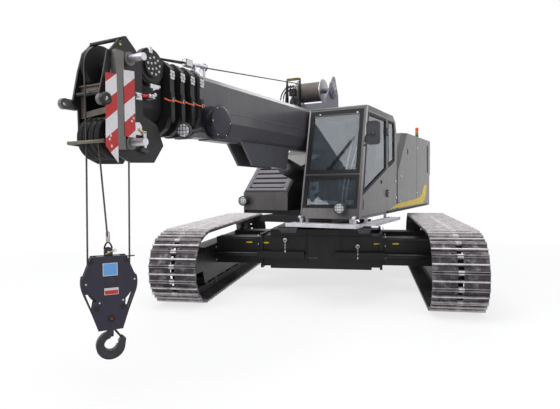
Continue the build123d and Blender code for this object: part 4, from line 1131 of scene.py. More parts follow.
# ---- tracks --------------------------------------------------------------------------------
@dataclass
class Track:
    """One track: shoes on a chain of links, laid round the idler and the sprocket.

    Args:
        side: left or right.
        hand: 1 on the left, -1 on the right.
    """

    side: str
    hand: int
    gauge: float = 3.871
    axles: float = 3.641
    idler_tip: float = 0.5295
    sprocket_tip: float = 0.5635
    grouser: float = 0.03
    plate: float = 0.02
    count: int = 49
    width: float = 0.70
    # heights that split each shoe into tips rubbed bright with a painted highlight, flats, and hollows in painted
    # shade
    bright_above: float = 0.02
    shaded_below: float = -0.01
    flat_wear_and_shade: float = 0.06
    shoe: tuple[Pair, ...] = ((0.0, -0.008), (0.05, 0.03), (0.12, 0.0), (0.42, 0.0), (0.46, 0.03),
                              (0.54, 0.03), (0.58, 0.0), (0.88, 0.0), (0.95, 0.03))
    pitch: float = field(init=False)
    climb: float = field(init=False)

    def __post_init__(self) -> None:
        """Work out the pitch along the belt."""
        self.climb = math.asin((self.sprocket_tip - self.idler_tip) / self.axles)
        sweeps = ((self.idler_tip, math.pi - self.climb), (self.sprocket_tip, math.pi + self.climb))
        self.pitch = sum(self.axles + (tip - self.grouser) * sweep for tip, sweep in sweeps) / self.count

    def pin(self, step: int) -> Pair:
        """Place of a shoe's first pin as w and z."""
        travel = (step % self.count) * self.pitch
        ends = ((self.axles / 2, self.idler_tip, math.pi - self.climb, -math.pi / 2),
                (-self.axles / 2, self.sprocket_tip, math.pi + self.climb, math.pi / 2 - self.climb))
        for w, tip, sweep, start in ends:
            reach = tip - self.grouser
            if travel < self.axles:
                back = travel - self.axles
                return (w + reach * math.cos(start) - math.sin(start) * back,
                        tip + reach * math.sin(start) + math.cos(start) * back)
            travel -= self.axles
            if travel < reach * sweep:
                angle = start + travel / reach
                return w + reach * math.cos(angle), tip + reach * math.sin(angle)
            travel -= reach * sweep
        return self.pin(0)

    def _pattern(self) -> bpy.types.Object:
        """One shoe with its bolts and its pair of links, its z outward and its x along the chain."""
        made = Shape(f"shoe_pattern_{self.side}", "", Finish.SHOE)
        pitch, half = self.pitch, self.width / 2
        top = [(share * pitch, height) for share, height in self.shoe]
        full = [(0.0, -self.plate)] + top + [(0.985 * pitch, 0.0), (0.985 * pitch, -self.plate)]
        for low, high in ((-half, -0.037), (0.037, half)):
            made.prism([Vector((x, low, z)) for x, z in full], Vector((0, high - low, 0)))
        for start, end, peak in ((0.0, 0.18, 0.05), (0.40, 0.60, 0.5), (0.82, 0.985, 0.95)):
            crown = [(start * pitch, 0.0), (max(start, peak - 0.04) * pitch, self.grouser),
                     (min(end, peak + 0.04) * pitch, self.grouser), (end * pitch, 0.0)]
            outline = [(start * pitch, -self.plate)] + crown + [(end * pitch, -self.plate)]
            made.prism([Vector((x, -0.037, z)) for x, z in outline], Vector((0, 0.074, 0)))
        for x in (0.27, 0.73):
            for y in (-0.09, 0.09):
                made.rod(Vector((x * pitch, y, -0.002)), Vector((x * pitch, y, 0.016)), 0.016, sides=6,
                         smooth=False)
        for y in (-0.105, 0.075):
            link = [(-0.01, -0.03), (0.02, -self.plate), (pitch - 0.03, -self.plate), (pitch - 0.004, -0.03),
                    (pitch + 0.01, -0.075), (pitch - 0.004, -0.112), (0.02, -0.112), (-0.008, -0.08)]
            made.prism([Vector((x, y, z)) for x, z in link], Vector((0, 0.03, 0)))
        made.rod(Vector((0.0, -0.11, -0.068)), Vector((0.0, 0.11, -0.068)), 0.021, sides=12)
        shoe = made.pattern()
        # painted light on the shoe: 1 on the grouser tips, rubbed and lit, a little on the flats, 0 on plate
        # undersides, links and pins, a painted shade in the gaps between shoes
        wear_and_shade = shoe.data.attributes.new("wear_and_shade", "FLOAT", "POINT")
        for i, vert in enumerate(shoe.data.vertices):
            high, low = vert.co.z > self.bright_above, vert.co.z <= self.shaded_below
            wear_and_shade.data[i].value = 1.0 if high else 0.0 if low else self.flat_wear_and_shade
        return shoe

    def build(self, tools: Tools) -> None:
        """Lay the shoes."""
        pattern = self._pattern()
        points, turns = [], []
        for step in range(self.count):
            (w0, z0), (w1, z1) = self.pin(step), self.pin(step + 1)
            run = Vector((0.0, -(w1 - w0), z1 - z0)).normalized()
            out = Vector((0.0, -(z1 - z0), -(w1 - w0))).normalized()
            across = out.cross(run)
            turns.append(Matrix((run, across, out)).transposed().to_euler())
            points.append(Vector((self.hand * self.gauge / 2, -w0, z0)))
        tools.set_out(f"track_shoes_{self.side}", f"{self.side}_track", "worn_steel", Finish.SHOE, pattern,
                      points, turns, 1.0, (f"track_{self.side}",))
        bpy.data.objects.remove(pattern)


# ---- boom, winch and head ------------------------------------------------------------------
def tangent(centre: Pair, reach: float, far: Pair, turn: int) -> Pair:
    """Point where a rope to a far point leaves a sheave, all as w and z."""
    run = Vector((far[0] - centre[0], far[1] - centre[1]))
    angle = math.atan2(run.y, run.x) + turn * math.acos(reach / run.length)
    return centre[0] + reach * math.cos(angle), centre[1] + reach * math.sin(angle)


def arc(bearing: Bearing, u: float, centre: Pair, reach: float, start: float, end: float,
        steps: int = 24) -> list[Vector]:
    """Points round a sheave between two angles in degrees."""
    return [bearing.at(u, centre[0] + reach * math.cos(math.radians(start + (end - start) * i / steps)),
                       centre[1] + reach * math.sin(math.radians(start + (end - start) * i / steps)))
            for i in range(steps + 1)]


@dataclass
class Reeving:
    """The hoist rope: off the drum, through the guide, over the head and down to the block."""

    rope: float = 0.008
    drum: Pair = (0.300, 3.340)
    drum_reach: float = 0.1583
    drum_u: float = -0.280
    guide: Pair = (3.490, 3.100)
    upper: Pair = (4.950, 2.800)
    lower: Pair = (4.950, 2.180)
    reach: float = 0.1753
    front_u: float = -0.035
    rear_u: float = 0.105
    block_z: float = 0.900
    block_reach: float = 0.1783
    becket: float = 1.262

    def build(self, tools: Tools) -> None:
        """Draw each run in place of the plain bars."""
        leave = tangent(self.upper, self.reach, self.guide, -1)
        start = math.degrees(math.atan2(leave[1] - self.upper[1], leave[0] - self.upper[0]))
        tools.rope("hoist_rope", "boom_base", [[
            UPPER.at(self.drum_u, *tangent(self.drum, self.drum_reach, self.guide, 1)),
            UPPER.at(0.0, *self.guide)]], self.rope, replaces=("boom_rope",))
        tools.rope("head_hoist_rope", "boom_head", [
            [UPPER.at(0.0, self.guide[0] + 0.002, self.guide[1])]
            + arc(UPPER, self.front_u, self.upper, self.reach, start, 0.0)
            + [UPPER.at(self.front_u, self.lower[0] + self.reach, self.lower[1] + 0.001)]],
            self.rope, replaces=("head_rope",))
        under = arc(HANGING, 0.0, (0.0, self.block_z), self.block_reach, 0.0, -180.0)
        up = tangent(self.lower, self.reach, (self.lower[0], self.becket), 1)
        tools.rope("block_falls", "hook_block", [
            [UPPER.at(self.front_u, self.lower[0] + self.reach, self.lower[1])] + under
            + [UPPER.at(self.rear_u, self.lower[0] - self.reach, self.lower[1])],
            [UPPER.at(self.rear_u, *up), HANGING.at(0.0, 0.0, self.becket)]],
            self.rope, replaces=("falls",))


@dataclass
class Winch:
    """Rope on the drum, covers and bolts of the frame, and the roller that keeps the rope down."""

    axle: Pair = (0.300, 3.340)
    core: float = 0.1503
    rope: float = 0.008
    ends: Pair = (-0.312, 0.102)
    plate_u: float = -0.39
    bolts: int = 8
    bolt_circle: float = 0.115
    winding_steps: int = 36

    def build(self, tools: Tools) -> None:
        """Wind the rope and make the fittings."""
        w, z = self.axle
        reach = self.core + self.rope
        turns = int((self.ends[1] - self.ends[0]) / (2 * self.rope))
        points = []
        for step in range(turns * self.winding_steps + 1):
            angle = math.tau * step / self.winding_steps
            u = min(self.ends[0] + self.rope + 2 * self.rope * step / self.winding_steps, self.ends[1] - self.rope)
            points.append(UPPER.at(u, w + reach * math.cos(angle), z + reach * math.sin(angle)))
        tools.rope("rope_windings", "winch_drum", [points], self.rope * 0.98, Finish.WOUND, sides=8)
        cover = Shape("winch_covers", "boom_base", Finish.WINCH)
        bolts = []
        for u, way in ((self.plate_u, -1), (0.29, 1)):
            cover.turned(((0, -0.004), (0.15, -0.004), (0.15, 0.012), (0.143, 0.020), (0.06, 0.024),
                          (0.055, 0.034), (0, 0.036)), UPPER.at(u, w, z), UPPER.along(way, 0, 0))
            bolts += circle(UPPER, u + way * 0.016, self.axle, self.bolt_circle, self.bolts, way=way)
        cover.done("grey_paint")
        tools.lay("winch_bolts", "boom_base", "galvanised", Finish.DARK, tools.hexagon, bolts, 0.011)
        keeper = Shape("rope_keeper", "boom_base", Finish.BLACK, Finish.YELLOW, Finish.STEEL, Finish.RUBBER)
        for u in (-0.40, -0.16):
            keeper.plate(UPPER, ((0.62, 2.93), (0.74, 2.93), (0.70, 3.30), (0.66, 3.53), (0.62, 3.53),
                                 (0.60, 3.20)), u, 0.012, 0, 0.002)
        keeper.rod(UPPER.at(-0.39, 0.65, 3.40), UPPER.at(-0.15, 0.65, 3.40), 0.016, 2)
        keeper.slab(UPPER, (-0.385, 0.61, 3.505), (-0.16, 0.69, 3.535), 1, 0.004)
        keeper.slab(UPPER, (-0.34, 0.63, 3.24), (-0.22, 0.69, 3.36), 0, 0.006)
        for shift in (0.0, 0.05, 0.10):
            keeper.pipe([UPPER.at(-0.37 + shift, 0.66 + 0.16 * math.sin(math.pi * t) + 0.2 * t,
                                  3.42 - 0.46 * t) for t in shares(12)], 0.010, 3, 8)
        keeper.done("black_steel")


@dataclass
class WarningBoards:
    """Red and white boards on the boom's head, either side of the post.

    Args:
        boards: u of the outer face, the w and z where a band starts, and the outline as w and z.
    """

    boards: tuple[tuple[float, Pair, tuple[Pair, ...]], ...] = (
        (0.286, (5.072, 2.098), ((5.072, 2.690), (5.185, 2.685), (5.200, 2.088), (5.100, 1.985), (5.072, 1.955))),
        (0.286, (4.870, 2.245), ((4.870, 2.752), (4.992, 2.742), (4.992, 2.182), (4.870, 2.178))),
    )
    thick: float = 0.005
    slope: float = 0.75

    def build(self, tools: Tools) -> None:
        """Make each board, its banding mapped in metres."""
        made = Shape("warning_boards", "boom_head", Finish.BANDS)
        for u, (start_w, start_z), outline in self.boards:
            before = set(made.mesh.faces)
            made.plate(UPPER, outline, u - self.thick, self.thick)
            for face in set(made.mesh.faces) - before:
                for loop in face.loops:
                    loop[made.uv].uv = ((FORWARD.dot(loop.vert.co) - start_w) * self.slope, loop.vert.co.z - start_z)
        made.done("grey_paint")
        stays = Shape("board_stays", "boom_head", Finish.BLACK)
        for w, z in ((5.10, 2.60), (5.12, 2.20), (4.90, 2.68), (4.90, 2.26)):
            stays.rod(UPPER.at(0.205, w, z), UPPER.at(0.2812, w, z), 0.014)
        stays.done("black_steel")
        places = [(UPPER.at(0.286, w, z), LEFTWARD) for w, z in
                  ((5.155, 2.175), (5.165, 2.145), (5.145, 2.09), (4.915, 2.318), (4.895, 2.345))]
        tools.lay("board_bolts", "boom_head", "galvanised", Finish.WHITE, tools.round_head, places, 0.011)


@dataclass
class HeadTrim:
    """Ear, arm, stays, clamps, latch and bolted cover round the boom's head."""

    plate_u: float = 0.2105
    lug: Pair = (5.185, 2.474)
    disc: Pair = (4.560, 2.870)

    def build(self, tools: Tools) -> None:
        """Make the fittings of the head."""
        self._ear()
        self._window()
        self._clamps()
        self._disc(tools)

    def _ear(self) -> None:
        """Ear over the left head plate, the arm down to the lug's ring, and the ring."""
        made = Shape("head_ear", "boom_head", Finish.DARK, Finish.BLACK, Finish.BRASS)
        made.plate(UPPER, ((4.985, 3.012), (4.908, 2.921), (4.985, 2.74), (5.012, 2.718), (5.060, 2.80),
                           (5.083, 2.901)), self.plate_u, 0.020, 0, 0.003)
        made.plate(UPPER, ((5.083, 2.90), (5.110, 2.895), (5.166, 2.66), (5.215, 2.49), (5.150, 2.46),
                           (5.095, 2.68), (5.060, 2.80)), self.plate_u, 0.014, 0, 0.002)
        made.turned(((0, 0.0), (0.018, 0.0), (0.018, 0.003), (0, 0.003)), UPPER.at(0.2305, 5.041, 2.869),
                    LEFTWARD, 1, 20)
        made.turned(((0, 0.0), (0.012, 0.0), (0.010, 0.008), (0, 0.008)), UPPER.at(0.2305, 4.975, 2.965),
                    LEFTWARD, 2, 16)
        made.rod(UPPER.at(-0.20, 4.905, 3.040), UPPER.at(0.212, 4.905, 3.040), 0.017)
        made.turned(((0.021, 0.0), (0.050, 0.0), (0.052, 0.006), (0.052, 0.040), (0.048, 0.048), (0.021, 0.048)),
                    UPPER.at(0.2503, *self.lug), LEFTWARD, 0, 32)
        made.done("black_steel")

    def _window(self) -> None:
        """Frame with a window between the head plates, and the rods in front of it."""
        made = Shape("head_window_frame", "boom_head", Finish.OLIVE)
        outline = ((-0.1895, 2.625), (0.1895, 2.625), (0.1895, 2.395), (-0.1895, 2.355))
        made.face_rim(UPPER, outline, 5.028, 0.012, 0.052)
        made.rod(UPPER.at(-0.20, 5.050, 2.634), UPPER.at(0.20, 5.050, 2.634), 0.011)
        for hand in (-1, 1):
            made.plate(UPPER, ((5.04, 2.112), (5.168, 2.120), (5.177, 2.136), (5.168, 2.152), (5.04, 2.160)),
                       hand * 0.216 - 0.006, 0.012, 0, 0.002)
        made.rod(UPPER.at(-0.212, 5.162, 2.136), UPPER.at(0.228, 5.162, 2.136), 0.015)
        made.done("grey_paint")

    def _clamps(self) -> None:
        """Silver clamps with the red link, and the bracket and latch behind the lower pin."""
        made = Shape("head_clamps", "boom_head", Finish.ZINC, Finish.RED, Finish.BLACK, Finish.BRASS,
                     Finish.PLASTIC)
        made.slab(UPPER, (0.2255, 4.52, 2.655), (0.250, 4.63, 2.695), 0, 0.006)
        made.rod(UPPER.at(0.235, 4.60, 2.645), UPPER.at(0.235, 4.50, 2.685), 0.014)
        made.slab(UPPER, (0.2105, 4.735, 2.525), (0.245, 4.815, 2.590), 0, 0.008)
        made.turned(((0, 0.0), (0.022, 0.0), (0.022, 0.02), (0, 0.024)), UPPER.at(0.243, 4.79, 2.56), FORWARD, 0, 20)
        made.rod(UPPER.at(0.238, 4.745, 2.568), UPPER.at(0.238, 4.645, 2.580), 0.013, 1)
        for w, z in ((4.64, 2.581), (4.60, 2.583), (4.57, 2.60)):
            made.turned(((0, -0.012), (0.017, -0.012), (0.019, 0.0), (0.017, 0.012), (0, 0.012)),
                        UPPER.at(0.240, w, z), FORWARD, 0, 16)
        made.slab(UPPER, (0.150, 4.56, 2.56), (0.238, 4.62, 2.600), 2, 0.004)
        made.plate(UPPER, ((4.730, 2.212), (4.838, 2.212), (4.838, 2.322), (4.760, 2.330), (4.730, 2.300)),
                   self.plate_u, 0.016, 2, 0.002)
        made.rod(UPPER.at(0.232, 4.775, 2.265), UPPER.at(0.232, 4.700, 2.235), 0.012, 3)
        made.plate(UPPER, ((4.690, 2.255), (4.735, 2.255), (4.722, 2.10), (4.690, 2.10)), 0.228, 0.014, 2, 0.002)
        made.rod(UPPER.at(0.236, 4.765, 2.085), UPPER.at(0.236, 4.665, 2.070), 0.017, 4)
        made.rod(UPPER.at(0.205, 4.71, 2.18), UPPER.at(0.246, 4.71, 2.18), 0.016, 2)
        made.slab(UPPER, (0.180, 4.56, 2.985), (0.215, 4.600, 3.045), 0, 0.004)
        made.slab(UPPER, (0.120, 4.57, 2.845), (0.180, 4.590, 3.005), 2, 0.002)
        made.done("galvanised")

    def _disc(self, tools: Tools) -> None:
        """Rim and bolts of the round cover on the last section's side."""
        made = Shape("head_disc_rim", "boom_head", Finish.DARK)
        made.turned(((0.149, 0.0), (0.172, 0.0), (0.172, 0.040), (0.165, 0.048), (0.149, 0.044)),
                    UPPER.at(0.146, *self.disc), LEFTWARD, 0, 48)
        made.done("black_steel")
        bolts = []
        for count, reach, start in ((9, 0.078, 12.0), (4, 0.036, 30.0)):
            bolts += circle(UPPER, 0.225, self.disc, reach, count, start)
        tools.lay("head_disc_bolts", "boom_head", "galvanised", Finish.WHITE, tools.round_head, bolts, 0.0105)


@dataclass
class Collars:
    """Grease fittings, side blocks and cable clips on the collar of each section."""

    bodies: tuple[str, ...] = ("boom_base", "section_2", "section_3", "section_4")
    first: float = 3.850
    step: float = 0.155
    side: float = 0.255
    top: float = 2.955
    bolts: tuple[Pair, ...] = ((0.016, 2.850), (0.044, 2.856), (0.012, 2.822), (0.048, 2.826), (0.018, 2.794),
                               (0.044, 2.797))

    def build(self, tools: Tools) -> None:
        """Dress every collar."""
        for number, body in enumerate(self.bodies):
            w = self.first + number * self.step
            made = Shape(f"collar_fittings_{number + 1}", body, Finish.BLACK, Finish.ZINC, Finish.ORANGE,
                         Finish.DARK)
            made.slab(UPPER, (self.side - 0.002, w + 0.006, 2.780), (self.side + 0.004, w + 0.054, 2.862), 0, 0.002)
            made.plate(UPPER, ((w + 0.004, 2.66), (w + 0.056, 2.66), (w + 0.056, 2.40), (w + 0.03, 2.36),
                               (w + 0.004, 2.40)), self.side - 0.001, 0.010, 3, 0.003)
            for hand in (-1, 1):
                made.slab(UPPER, (hand * 0.12 - 0.03, w + 0.008, self.top - 0.001),
                          (hand * 0.12 + 0.03, w + 0.052, self.top + 0.018), 3, 0.003)
            made.slab(UPPER, (self.side - 0.001, w + 0.018, 2.566), (self.side + 0.020, w + 0.042, 2.606), 1, 0.003)
            made.pipe([UPPER.at(self.side + 0.012, w + t * self.step, 2.594 - 0.010 * math.sin(math.pi * t)
                                - 0.004 * number) for t in shares(8)], 0.0075, 2, 8)
            made.done("black_steel")
            bolts = [(UPPER.at(self.side + 0.004, w + dw, z), LEFTWARD) for dw, z in self.bolts]
            tools.lay(f"collar_bolts_{number + 1}", body, "galvanised", Finish.WHITE, tools.round_head, bolts,
                      0.0145)


@dataclass
class BoomTrim:
    """Seams, rubbing strip, lamp, rods and reel cover along the boom's first section."""

    half: float = 0.23
    rear: float = -1.6
    front: float = 3.84
    crease: float = 2.585
    reel: Pair = (3.720, 2.430)

    def build(self, tools: Tools) -> None:
        """Make the trim."""
        trim = Shape("boom_edge_weld", "boom_base", Finish.BOOM, Finish.POST)
        for hand in (-1, 1):
            trim.rod(UPPER.at(hand * self.half, self.rear, self.crease),
                     UPPER.at(hand * self.half, self.front, self.crease), 0.006, sides=8)
            for w in (-0.9, 0.95):
                trim.rod(UPPER.at(hand * self.half, w, 2.47), UPPER.at(hand * self.half, w, 2.875), 0.005, sides=8)
        trim.slab(UPPER, (-0.075, 2.92, 2.268), (0.075, 3.52, 2.281), 1, 0.003)
        trim.done("grey_paint")
        self._lamp()
        self._reel(tools)
        self._rods()

    def _lamp(self) -> None:
        """Work lamp on an arm ahead of the first collar, with a wire guard."""
        made = Shape("boom_lamp", "boom_base", Finish.PLASTIC, Finish.LENS, Finish.CHROME)
        foot, ahead = UPPER.at(0.360, 4.300, 2.290), UPPER.along(0.10, 1.0, -0.05).normalized()
        side = ahead.cross(UPWARD).normalized()
        over = side.cross(ahead)
        made.pipe([UPPER.at(0.262, 3.900, 2.36), UPPER.at(0.285, 3.96, 2.335), UPPER.at(0.300, 4.08, 2.31),
                   UPPER.at(0.315, 4.18, 2.295), UPPER.at(0.350, 4.240, 2.29)], 0.013)
        made.turned(((0, -0.075), (0.035, -0.072), (0.062, -0.040), (0.076, 0.0), (0.078, 0.020), (0.070, 0.024),
                     (0.066, 0.012), (0, 0.010)), foot, ahead)
        made.turned(((0, 0.0105), (0.065, 0.0105), (0.040, 0.012), (0, 0.013)), foot, ahead, 2)
        made.turned(((0, 0.0135), (0.066, 0.0135), (0.060, 0.022), (0, 0.028)), foot, ahead, 1)
        for shift in (-0.036, 0.0, 0.036):
            reach = math.sqrt(0.070 ** 2 - shift ** 2)
            for one, two in ((side, over), (over, side)):
                start = foot + ahead * 0.031 + one * shift
                made.rod(start - two * reach, start + two * reach, 0.0028, 0, 8)
        made.done("black_plastic")

    def _reel(self, tools: Tools) -> None:
        """Rounded cover and bolts on the cable reel's outer disc, and cable on its core."""
        made = Shape("reel_cover", "boom_base", Finish.REEL)
        made.turned(((0, -0.0005), (0.174, -0.0005), (0.172, 0.006), (0.150, 0.010), (0.060, 0.013), (0, 0.014)),
                    UPPER.at(0.390, *self.reel), LEFTWARD, 0, 48)
        made.done("black_plastic")
        cable = Shape("reel_cable", "boom_base", Finish.RUBBER)
        for step in range(8):
            cable.ring(UPPER.at(0.288 + step * 0.0125, *self.reel), LEFTWARD, 0.135, 0.0064, 0, 48, 8)
        cable.done("black_plastic")
        bolts = circle(UPPER, 0.3955, self.reel, 0.16, 6)
        tools.lay("reel_bolts", "boom_base", "chrome", Finish.CHROME, tools.round_head, bolts, 0.006)

    def _rods(self) -> None:
        """Silver rod and its dark head over the front of the first section."""
        made = Shape("boom_top_rod", "boom_base", Finish.ZINC, Finish.BLACK)
        made.rod(UPPER.at(0.10, 3.590, 3.075), UPPER.at(0.10, 3.87, 3.055), 0.022)
        made.slab(UPPER, (0.07, 3.855, 3.010), (0.13, 3.965, 3.085), 1, 0.006)
        made.rod(UPPER.at(0.10, 3.96, 3.045), UPPER.at(0.10, 4.34, 3.000), 0.012, 1)
        for w in (3.64, 3.80):
            made.slab(UPPER, (0.07, w, 2.929), (0.13, w + 0.03, 3.045), 1, 0.004)
        made.done("galvanised")


# ---- hook block ----------------------------------------------------------------------------
@dataclass
class Block:
    """Hook block with windowed cheeks, spacers, becket and its blank plates."""

    gap: float = 0.035
    thick: float = 0.022
    half: float = 0.240
    sheave_z: float = 0.900
    spacers: tuple[Pair, ...] = ((0.150, 1.100), (-0.150, 1.100), (0.110, 0.680), (-0.110, 0.680))
    shoulder: tuple[Pair, ...] = ((0.219, 0.962), (0.150, 1.140), (-0.150, 1.140), (-0.219, 0.962))
    waist: tuple[Pair, ...] = ((-0.225, 0.817), (-0.186, 0.815), (-0.135, 0.765), (-0.128, 0.690),
                               (-0.150, 0.670), (-0.158, 0.640), (-0.105, 0.480), (0.105, 0.480),
                               (0.158, 0.640), (0.142, 0.730), (0.114, 0.750), (0.160, 0.805),
                               (0.186, 0.815), (0.225, 0.817))

    def build(self, tools: Tools) -> None:
        """Make the block and what is on it."""
        self._cheeks()
        self._plates(tools)

    def _cheeks(self) -> None:
        """Both cheeks, each with a triangular window either side, and what joins them."""
        made = Shape("block_cheeks", "hook_block", Finish.NAVY)
        rim = [(self.half * math.cos(a), self.sheave_z + self.half * math.sin(a))
               for a in (math.radians(15 - 35 * i / 6) for i in range(7))]
        left = [(-w, z) for w, z in reversed(rim)]
        outline = list(self.shoulder) + left[::-1] + list(self.waist) + rim[::-1]
        for side in (-1, 1):
            u = self.gap if side > 0 else -self.gap - self.thick
            made.plate(HANGING, outline, u, self.thick)
            for hand in (-1, 1):
                strip = ((hand * 0.2255, 0.8175), (hand * 0.158, 0.640), (hand * 0.146, 0.646),
                         (hand * 0.205, 0.8165))
                made.plate(HANGING, strip, u, self.thick)
        for w in (-0.055, 0.023):
            made.slab(HANGING, (-self.gap, w, 0.520), (self.gap, w + 0.032, 0.620), 0)
        made.slab(HANGING, (-self.gap, -0.100, 1.110), (self.gap, 0.100, 1.140), 0, 0.003)
        for w, z in self.spacers:
            made.rod(HANGING.at(-self.gap, w, z), HANGING.at(self.gap, w, z), 0.016)
        made.rod(HANGING.at(-self.gap, 0, self.sheave_z), HANGING.at(self.gap, 0, self.sheave_z), 0.0395, 0, 32)
        ear = [(0.036, 1.139), (0.036, 1.180)] + [(0.036 * math.cos(a), 1.180 + 0.036 * math.sin(a)) for a in
                                                  (math.pi * i / 10 for i in range(1, 10))] + [
            (-0.036, 1.180), (-0.036, 1.139)]
        for u in (-0.030, 0.016):
            made.plate(HANGING, ear, u, 0.014, 0, 0.002)
        made.done("navy_black", ("block",))

    def _plates(self, tools: Tools) -> None:
        """Blank plates, caps, bolts, becket pin, thimble and ferrule."""
        face = self.gap + self.thick
        made = Shape("block_fittings", "hook_block", Finish.BLUE, Finish.WHITE, Finish.RED, Finish.NAVY,
                     Finish.BLACK, Finish.BRASS, Finish.FERRULE, Finish.STEEL)
        blue = ((0.056, 1.080), (-0.069, 1.080), (-0.069, 0.966), (0.056, 0.966))
        made.plate(HANGING, blue, face, 0.0022, 0, 0.0004)
        made.rim(HANGING, blue, face + 0.0022, 0.0008, 0.006, 1)
        made.plate(HANGING, ((0.047, 0.858), (-0.073, 0.858), (-0.073, 0.797), (0.047, 0.797)), face, 0.002, 1)
        made.plate(HANGING, ((0.042, 0.836), (-0.068, 0.836), (-0.068, 0.801), (0.042, 0.801)), face + 0.002,
                   0.0008, 2)
        out = HANGING.along(1, 0, 0)
        for w, z, reach, slot in ((-0.004, 0.915, 0.044, 3), (-0.008, 0.582, 0.030, 4)):
            made.turned(((0, 0.0), (reach, 0.0), (reach, 0.007), (reach - 0.005, 0.010), (0, 0.010)),
                        HANGING.at(face, w, z), out, slot, 32)
        made.turned(((0, 0.0), (0.008, 0.0), (0.008, 0.002), (0, 0.003)), HANGING.at(face + 0.010, -0.008, 0.582),
                    out, 2, 16)
        for w, z in self.spacers:
            for way in (1, -1):
                made.turned(((0, 0.0), (0.020, 0.0), (0.020, 0.008), (0.012, 0.012), (0, 0.012)),
                            HANGING.at(way * face, w, z), out * way, 4, 20)
        made.rod(HANGING.at(-0.045, 0, 1.176), HANGING.at(0.052, 0, 1.176), 0.011, 5)
        made.rod(HANGING.at(0.046, 0.030, 1.158), HANGING.at(0.046, -0.048, 1.192), 0.0045, 5, 8)
        made.ring(HANGING.at(0.050, -0.052, 1.188), out, 0.012, 0.003, 7, 16, 6)
        made.rod(HANGING.at(0.0, -0.09, 1.122), HANGING.at(0.0, -0.228, 1.124), 0.006, 4, 10)
        loop = [HANGING.at(0, 0.034 * math.sin(a) * (1.0 if math.cos(a) < 0 else 0.92), 1.195 - 0.034 * math.cos(a)
                           + (0.03 * max(0.0, -math.cos(a)) ** 2)) for a in (math.tau * i / 28 for i in range(28))]
        made.pipe(loop, 0.0078, 4, 10, closed=True)
        made.turned(((0, 0.0), (0.012, 0.0), (0.018, 0.008), (0.018, 0.088), (0.013, 0.096), (0, 0.096)),
                    HANGING.at(0, 0, 1.258), UPWARD, 6, 24)
        made.done("navy_black")
        bolts = [(HANGING.at(face, w, z), out) for w, z in
                 ((0.196, 0.905), (-0.214, 0.920), (0.089, 0.732), (-0.110, 0.739))]
        tools.lay("block_bolts", "hook_block", "galvanised", Finish.WHITE, tools.round_head, bolts, 0.008)
        latch = Shape("hook_latch", "hook", Finish.BLACK)
        latch.prism([HANGING.at(-0.014, w, z) for w, z in ((-0.030, 0.462), (-0.048, 0.470), (-0.098, 0.398),
                                                           (-0.088, 0.384))], HANGING.along(0.028, 0, 0), 0, 0.003)
        latch.done("navy_black")


